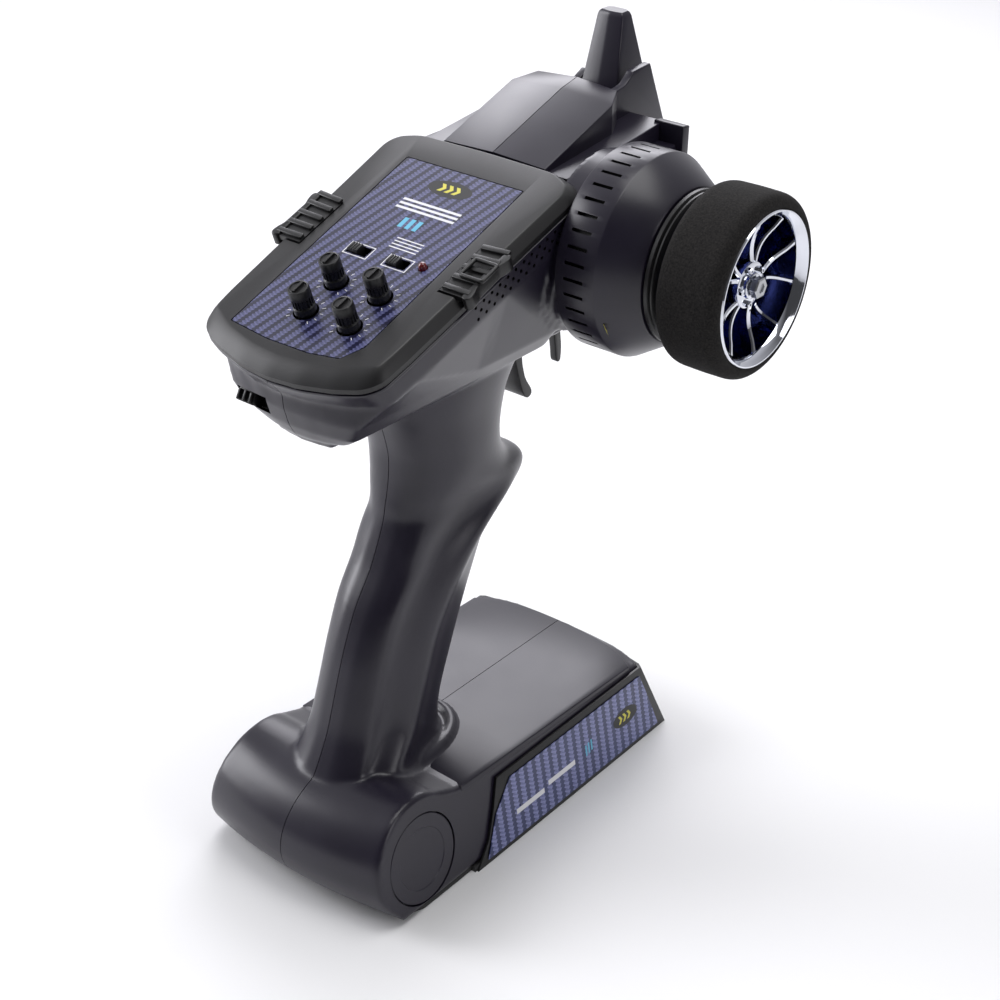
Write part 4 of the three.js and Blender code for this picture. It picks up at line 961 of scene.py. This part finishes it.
def wire(name, path, radius, sides=12):
    """A closed loop of wire: a ring of points follows the path."""
    points = [Vector(p) for p in path]
    up = Vector((0, 0, 1))
    rings = []
    for i, p in enumerate(points):
        a, b = points[i - 1], points[(i + 1) % len(points)]
        ahead = (b - a).normalized()
        out = ahead.cross(up).normalized()
        rings.append([tuple(p + out * radius * math.cos(t) + up * radius * math.sin(t))
                      for t in full_turn(sides)])
    bm = bmesh.new()
    loops = [[bm.verts.new(q) for q in ring] for ring in rings]
    for a, b in zip(loops, loops[1:] + loops[:1]):
        for j in range(sides):
            bm.faces.new((a[j], a[(j + 1) % sides], b[(j + 1) % sides], b[j]))
    bmesh.ops.recalc_face_normals(bm, faces=bm.faces)
    return thing(name, bm)


square = rounded([(35.2, 49.6), (44.6, 49.6), (44.6, 58.4), (35.2, 58.4)], 1.0, 4)
strap_loop = wire("strap_loop", [(x, y, 2.1) for x, y in square], 0.75)
on_panel(strap_loop, "handset", DARK, "dark")

# %% [markdown]
# The power key sits in a slot of the sloping rear wall. Three ridges on it give the thumb a hold.

# %% power key
power = thing("power", block(-7.5, 0.3, 0.4, 5.5, -2.25, 2.25))
ridges = repeated("ridges", block(-0.5, 0.5, -0.8, 1.0, -1.9, 1.9), DARK, 3, step=(2.8, 0, 0),
                  place=(-6.4, 0, 0))
power = bevelled(joined("power", power, ridges), 0.2, 2)
power.data.transform(REAR_WALL)
finished(power, "power_key", DARK, "dark", "power_slider")

# %% [markdown]
# ## The aerial fin
# A stubby tapered moulding. Its rear face is two flats that meet in a fine line down the middle.

# %% aerial fin
FIN = [(266.4, 153.4, 176.4, 8.8), (270, 153.9, 176.3, 8.5), (275, 155.2, 176, 8.1),
       (298.2, 159.9, 168.2, 5.95),
       (299.3, 160.3, 167.7, 5.5), (299.95, 161.0, 167.0, 4.8)]


def fin_ring(z, rear, front, half):
    right = [(half - 0.1, rear + 0.8), (half * 0.94, front - 1.2), (half * 0.6, front)]
    loop = [(0, rear)] + right + [(-x, y) for x, y in right[::-1]]
    return [(x, y, z) for x, y in rounded(loop, 0.7, 3)]


finished(thing("fin", loft([fin_ring(*row) for row in FIN])), "handset", BODY, "body", "aerial_fin", sharp=28)

# %% [markdown]
# ## The steering wheel
# The drum that houses the wheel's bearing is a turned cup with forty slots round its rim. The wheel is a
# scale car wheel: a foam tyre glued on a chromed rim with curved paired spokes and a lug nut between them.

# %% drum and collar
DRUM_SLOTS = 40


def wheel_piece(name, profile, sides, material, slot, *replaced, body="steering_wheel", sharp=40):
    obj = thing(name, turned(profile, WHEEL_Y, WHEEL_Z, sides))
    return finished(obj, body, material, slot, *replaced, sharp=sharp)


def round_wheel(name, bm, material, count, angle=0.0):
    return repeated(name, bm, material, count, turn=(2 * math.pi / count, 0, 0), tilt=(angle, 0, 0),
                    place=(0, WHEEL_Y, WHEEL_Z))


drum_profile = [(44.0, 0), (43.8, 36.6), (44.1, 37.1), (44.8, 37.35), (60.0, 37.35), (60.6, 37.1),
                (73.2, 29.2),
                (74.0, 28.3), (74.1, 27.4), (74.0, 10), (70, 9.6), (70, 0)]
drum = thing("drum", turned(drum_profile, WHEEL_Y, WHEEL_Z, 240), BODY)
# The slot walls take the black moulding finish: painted shade inside the slots.
carved(drum, round_wheel("drum_slots", block(47.8, 56.0, -0.6, 0.6, 34.6, 40), DARK, DRUM_SLOTS))
carved(drum, thing("bush", rod(5.4, 60, 80, WHEEL_Y, WHEEL_Z, 48)))
finished(drum, "handset", None, "body", "wheel_housing", sharp=24)
collar = [(74.6, 8), (74.6, 27.6), (74.9, 27.9), (76.2, 27.9), (76.5, 27.6), (76.9, 26.9), (77.3, 27.5),
          (77.9, 27.5), (78.4, 27.0), (79.6, 25.2), (79.85, 24.6), (79.85, 8), (74.6, 8)]
wheel_piece("collar", collar, 160, DARK, "dark", "wheel_collar", body="handset")
chevron = prism([(-1.8, -1.6), (0, 0), (1.8, -1.6), (1.8, -0.6), (0, 1.0), (-1.8, -0.6)], 0, INK, "z")
mark = repeated("drum_mark", chevron, YELLOW_INK, 2, step=(0, 1.9, 0))
round_axis = Matrix.Translation((62.6, WHEEL_Y, WHEEL_Z)) @ Matrix.Rotation(math.radians(28), 4, "X")
on_cone = Matrix.Translation((0, -35.98, 0)) @ Matrix.Rotation(math.radians(90), 4, "X")
mark.data.transform(round_axis @ (on_cone @ Matrix.Rotation(math.radians(-32.2), 4, "Y")))
finished(mark, "handset", None, "label")

# %% foam tyre
tread = rounded([(81.5, 27.4), (81.5, 30.6), (84.2, 33.2), (94, 33.4), (103.8, 33.2), (106.35, 30.6),
                 (106.35, 27.4)], 2.6, 8)[9:-9]
tyre = [(81.6, 27.3), (81.5, 28.2), *[(float(x), float(r)) for x, r in tread], (106.3, 28.35), (106.0, 28.25),
        (106.0, 27.3), (81.6, 27.3)]
wheel_piece("tyre", tyre, 256, FOAM, "foam", "wheel_tyre", sharp=50)

# %% chrome rim
lip = [(103.9, 27.1), (105.7, 27.5), (105.8, 28.1), (106.2, 28.2), (106.7, 27.9), (106.75, 27.4),
       (105.6, 26.2),
       (104.6, 25.3), (103.4, 24.9), (103.0, 25.4), (103.0, 27.1), (103.9, 27.1)]
wheel_piece("rim_lip", lip, 200, CHROME, "chrome")
# The rim's barrel and back take the dark blue chrome: painted shade and a painted blue reflection in the
# colour.
barrel = [(81.9, 20), (81.9, 27.0), (102.9, 27.0), (102.9, 25.2), (96.0, 24.7), (95.0, 24.0), (86.0, 23.6),
          (85.0, 22.8), (84.6, 20), (81.9, 20)]
wheel_piece("rim_barrel", barrel, 200, SHADED_BLUE_CHROME, "chrome", "wheel_rim")
back = [(82.2, 3.2), (82.2, 20.5), (84.4, 20.5), (84.9, 18), (85.2, 9), (88, 8.2), (96.0, 8.2), (96.2, 3.2),
        (82.2, 3.2)]
wheel_piece("rim_back", back, 96, SHADED_BLUE_CHROME, "chrome")
hub = [(95.0, 3.2), (95.0, 8.0), (99.4, 8.6), (100.1, 8.3), (100.3, 7.6), (100.3, 4.9), (101.3, 4.6),
       (101.5, 4.2),
       (101.5, 3.2), (95.0, 3.2)]
wheel_piece("rim_hub", hub, 96, CHROME, "chrome")


def spoke(side):
    """One thin spoke of a pair. The two leave the hub close together and spread evenly at the rim."""
    rings = []
    for t in np.linspace(0, 1, 13):
        r = lerp(7.0, 25.9, t)
        a = side * lerp(0.10, math.pi / 10, t**0.75)
        w = lerp(0.95, 0.72, t) + 0.5 * max(0, t - 0.85) / 0.15
        face = 100.3 + 3.2 * t**2.2 - 1.1 * math.sin(math.pi * min(t * 1.3, 1))
        deep = face - lerp(3.6, 5.0, t)
        centre = Vector((0, r * math.sin(a), r * math.cos(a)))
        cross = Vector((0, math.cos(a), -math.sin(a)))
        ring = []
        for u, x in ((-1.1, deep), (-1, face - 0.6), (-0.55, face), (0.55, face), (1, face - 0.6),
                     (1.1, deep)):
            p = centre + cross * (u * w)
            ring.append((x, p.y, p.z))
        rings.append(ring)
    return loft(rings)


for k, side in enumerate((1, -1)):
    arms = round_wheel(f"rim_spokes_{k + 1}", spoke(side), CHROME, 5, math.radians(-14))
    finished(arms, "steering_wheel", None, "chrome", sharp=24)
lug = [(99.4, 0), (99.4, 1.25), (101.5, 1.25), (101.9, 1.0), (101.9, 0.55), (101.4, 0.5), (101.4, 0)]
lugs = round_wheel("lug_nuts", turned(lug, 0, 6.6, 6), CHROME, 5, math.radians(22))
finished(lugs, "steering_wheel", None, "chrome", sharp=24)

# %% wheel nut
nut = [(101.8, 0), (101.8, 3.6), (102.1, 3.9), (104.3, 3.9), (104.75, 3.5), (104.75, 1.9), (104.2, 1.7),
       (104.2, 0)]
wheel_piece("nut", nut, 6, STEEL, "steel", "wheel_nut", sharp=24)

# %% [markdown]
# ## Trigger
# Two blades on one hub: the broad curved one behind is squeezed by the finger, the thin spur in front is
# pushed. Both are drawn as side outlines with rounded corners and given soft edges.

# %% trigger
TRIGGER_Y, TRIGGER_Z = 107.0, 210.0
REAR_BLADE = [(99, 205), (97.2, 196), (98, 188), (99.6, 182.5), (102.2, 174), (105, 165.6), (107, 161.4),
              (109.4, 160), (111.6, 161.2), (111.4, 163.4), (107.2, 169.4), (105.2, 176), (104.2, 184),
              (105, 192), (108, 198), (113, 204)]
FRONT_BLADE = [(110, 197), (120, 192.6), (127.4, 186), (130.6, 178.4), (132, 171), (132.6, 166.2),
               (134, 165.2),
               (135.4, 166), (135.6, 172), (134.4, 180), (131.6, 189), (124, 197), (112, 203)]


def blade(name, outline, half, edge, segments):
    return bevelled(thing(name, prism(rounded(outline, 2.2, 3), -half, half, "x")), edge, segments, 50)


rear_blade = blade("rear_blade", REAR_BLADE, 5.6, 1.1, 4)
front_blade = blade("front_blade", FRONT_BLADE, 1.7, 0.5, 3)
hub = thing("hub", turned([(-5.6, 2.2), (-5.6, 8.6), (-5.2, 9), (5.2, 9), (5.6, 8.6), (5.6, 2.2),
                           (-5.6, 2.2)],
                          TRIGGER_Y, TRIGGER_Z, 64))
lever = joined("lever", rear_blade, front_blade, hub)
finished(lever, "trigger_lever", DARK, "dark", "trigger", sharp=40)

# %% [markdown]
# ## The base
# End caps close the barrel, a thin skirt tray clips under the plate and a door slides over the cells. The
# skirt is the model's own solid with its edges softened.

# %% end caps
CAP_PROFILE = [(-1.9, 0), (-1.9, 17.4), (-0.75, 17.9), (-0.5, 17.9), (-0.2, 17.6), (-0.2, 12.6),
               (-0.45, 12.3),
               (-0.45, 0)]
for side in (1, -1):
    name = f"cap_{side_name(side)}"
    cap = thing(name, on_cap_face(turned(CAP_PROFILE, 0, 0, 128), side))
    finished(cap, "handset", BODY, "body", f"end_{name}", sharp=24)

# %% tray and door
finished(bevelled(cad_copy("base_tray", "tray"), 0.25, 2, 40), "handset", DARK, "dark", "base_tray")
door = cad_copy("battery_door", "door")
finished(bevelled(door, 0.3, 2, 40), "battery_cover", DARK, "dark", "battery_door")
door_ribs = repeated("door_ribs", block(-9, 9, -0.5, 0.5, 0.12, 0.6), DARK, 6, step=(0, 2.4, 0),
                     place=(0, 140, 0))
finished(door_ribs, "battery_cover", None, "dark")

# %% [markdown]
# ## Small repeats on the shells
# Every screw shows a cross recess in its head, sunk in its own hole.

# %% screws
SCREW_HEADS = {"x": [(0, 0), (0, 2.6), (0.5, 2.8), (1.5, 2.3), (1.9, 1.2), (2.0, 0)],
               "z": [(0, 0), (0, 2.7), (0.4, 2.8), (1.6, 2.2), (1.8, 0)]}


def cross_screw(node, axis):
    low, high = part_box(node)
    centre = (Vector(low) + Vector(high)) * 500
    length = (high[0] - low[0] if axis == "x" else high[2] - low[2]) * 1000
    thread = [(0.01, 1.45), (length - 3.2, 1.45), (length - 2.2, 0.3), (length - 2.2, 0)]
    rows = [(-h, r) for h, r in SCREW_HEADS[axis][::-1]] + thread
    screw = thing(node, turned(rows, 0, 0, 32))
    for k in range(2):
        slot_bm = block(-3, -1.2, *((-1.5, 1.5, -0.28, 0.28) if k else (-0.28, 0.28, -1.5, 1.5)))
        carved(screw, thing("cross", slot_bm))
    if axis == "x":
        place = Matrix.Translation((low[0] * 1000 + 2.0, centre.y, centre.z))
    else:
        upright = Matrix.Rotation(math.radians(-90), 4, "Y")
        place = Matrix.Translation((centre.x, centre.y, low[2] * 1000 + 1.8)) @ upright
    screw.data.transform(place)
    return screw


for i in range(4):
    for kind, axis in (("shell_screw", "x"), ("tray_screw", "z")):
        node = f"{kind}_{i + 1}"
        finished(cross_screw(node, axis), "handset", STEEL, "steel", node)

# %% [markdown]
# ## What stays as it was
# The pieces inside the shells keep the model's own solids and only take a finish.

# %% finishes for the inner pieces
INNER = {
    "trim_pot_": (DARK, "dark"), "reverse_switch_": (DARK, "dark"), "power_switch": (DARK, "dark"),
    "aerial_core": (BRASS, "brass"), "steering_shaft": (STEEL, "steel"), "steering_bush": (BRASS, "brass"),
    "steering_spring": (STEEL, "steel"), "steering_pot": (DARK, "dark"), "trigger_pin": (STEEL, "steel"),
    "trigger_spring": (STEEL, "steel"), "trigger_pot": (DARK, "dark"), "cell_": (WRAP, "cell_wrap"),
    "contact_plate_": (STEEL, "steel"), "main_board": (BOARD, "board"), "radio_board": (BOARD, "board"),
}
for name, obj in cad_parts.items():
    for start, (material, slot_name) in INNER.items():
        if name.startswith(start):
            if not obj.material_slots:
                obj.data.materials.append(material)
            for slot_of in obj.material_slots:
                slot_of.material = material

# %% [markdown]
# ## Floor, light and camera
# One pale floor, a big soft light from the left and behind for the long highlight on the grip, a broad
# top light, and a weak fill from the right so that the dark side keeps its shape.

# %% floor
floor = thing("floor", block(-2000, 2000, -2000, 2000, -20, 0))
floor.data.transform(Matrix.Scale(0.001, 4))
PAPER = bpy.data.materials.new("pale_paper")
PAPER.use_nodes = True
paper_skin = PAPER.node_tree.nodes["Principled BSDF"]
paper_skin.inputs["Base Color"].default_value = (0.86, 0.86, 0.86, 1)
paper_skin.inputs["Roughness"].default_value = 0.7
floor.data.materials.append(PAPER)


# %% lights
def panel_light(name, place, aim, size, power, colour=(1, 1, 1)):
    lamp_data = bpy.data.lights.new(name, "AREA")
    lamp_data.shape, lamp_data.size, lamp_data.size_y = "RECTANGLE", size[0], size[1]
    lamp_data.energy, lamp_data.color = power, colour
    light = bpy.data.objects.new(name, lamp_data)
    bpy.context.scene.collection.objects.link(light)
    light.location = place
    light.rotation_euler = (Vector(aim) - Vector(place)).to_track_quat("-Z", "Y").to_euler()
    return light


TARGET = Vector((0.03855, 0.05, 0.15259))
lights = [
    panel_light("window_left", (-1.25, -0.55, 0.7), TARGET, (0.55, 1.2), 17, (0.96, 0.96, 1.0)),
    panel_light("window_back", (-0.75, 1.1, 0.95), TARGET, (0.9, 0.7), 9, (0.95, 0.94, 1.0)),
    panel_light("sky_panel", (0.2, 0.2, 1.5), TARGET, (0.9, 0.9), 9),
    panel_light("fill_right", (1.4, 0.1, 0.7), TARGET, (0.5, 0.9), 4, (0.98, 0.97, 1.0)),
]
world = bpy.data.worlds.new("studio")
world.use_nodes = True
sky = world.node_tree
facing = sky.nodes.new("ShaderNodeVectorMath")
facing.operation = "DOT_PRODUCT"
facing.inputs[1].default_value = (-0.72, 0.42, 0.35)
sky.links.new(sky.nodes.new("ShaderNodeTexCoord").outputs["Generated"], facing.inputs[0])
bright = sky.nodes.new("ShaderNodeMapRange")
bright.inputs["From Min"].default_value, bright.inputs["From Max"].default_value = -0.35, 0.95
bright.inputs["To Min"].default_value, bright.inputs["To Max"].default_value = 0.06, 0.95
sky.links.new(facing.outputs["Value"], bright.inputs["Value"])
backdrop = sky.nodes["Background"]
sky.links.new(bright.outputs[0], backdrop.inputs[1])
backdrop.inputs[0].default_value = (0.96, 0.96, 1.0, 1)
bpy.context.scene.world = world
bpy.context.scene.view_settings.view_transform = "Standard"

# %% camera
AZIMUTH, ELEVATION, ROLL = (math.radians(v) for v in (37.69, 29.85, 1.23))
DISTANCE = 0.69972
level = Vector((math.cos(AZIMUTH), math.sin(AZIMUTH), 0))
ahead = Vector((-math.sin(AZIMUTH) * math.cos(ELEVATION), math.cos(AZIMUTH) * math.cos(ELEVATION),
                -math.sin(ELEVATION)))
upward = level.cross(ahead)
right = level * math.cos(ROLL) + upward * math.sin(ROLL)
above = upward * math.cos(ROLL) - level * math.sin(ROLL)
camera = bpy.data.objects.new("camera", bpy.data.cameras.new("camera"))
camera.data.lens, camera.data.sensor_width = 69.776, 36.0
bpy.context.scene.collection.objects.link(camera)
camera.matrix_world = Matrix.Translation(TARGET - ahead * DISTANCE) @ Matrix(
    (right, above, -ahead)).transposed().to_4x4()
bpy.context.scene.camera = camera
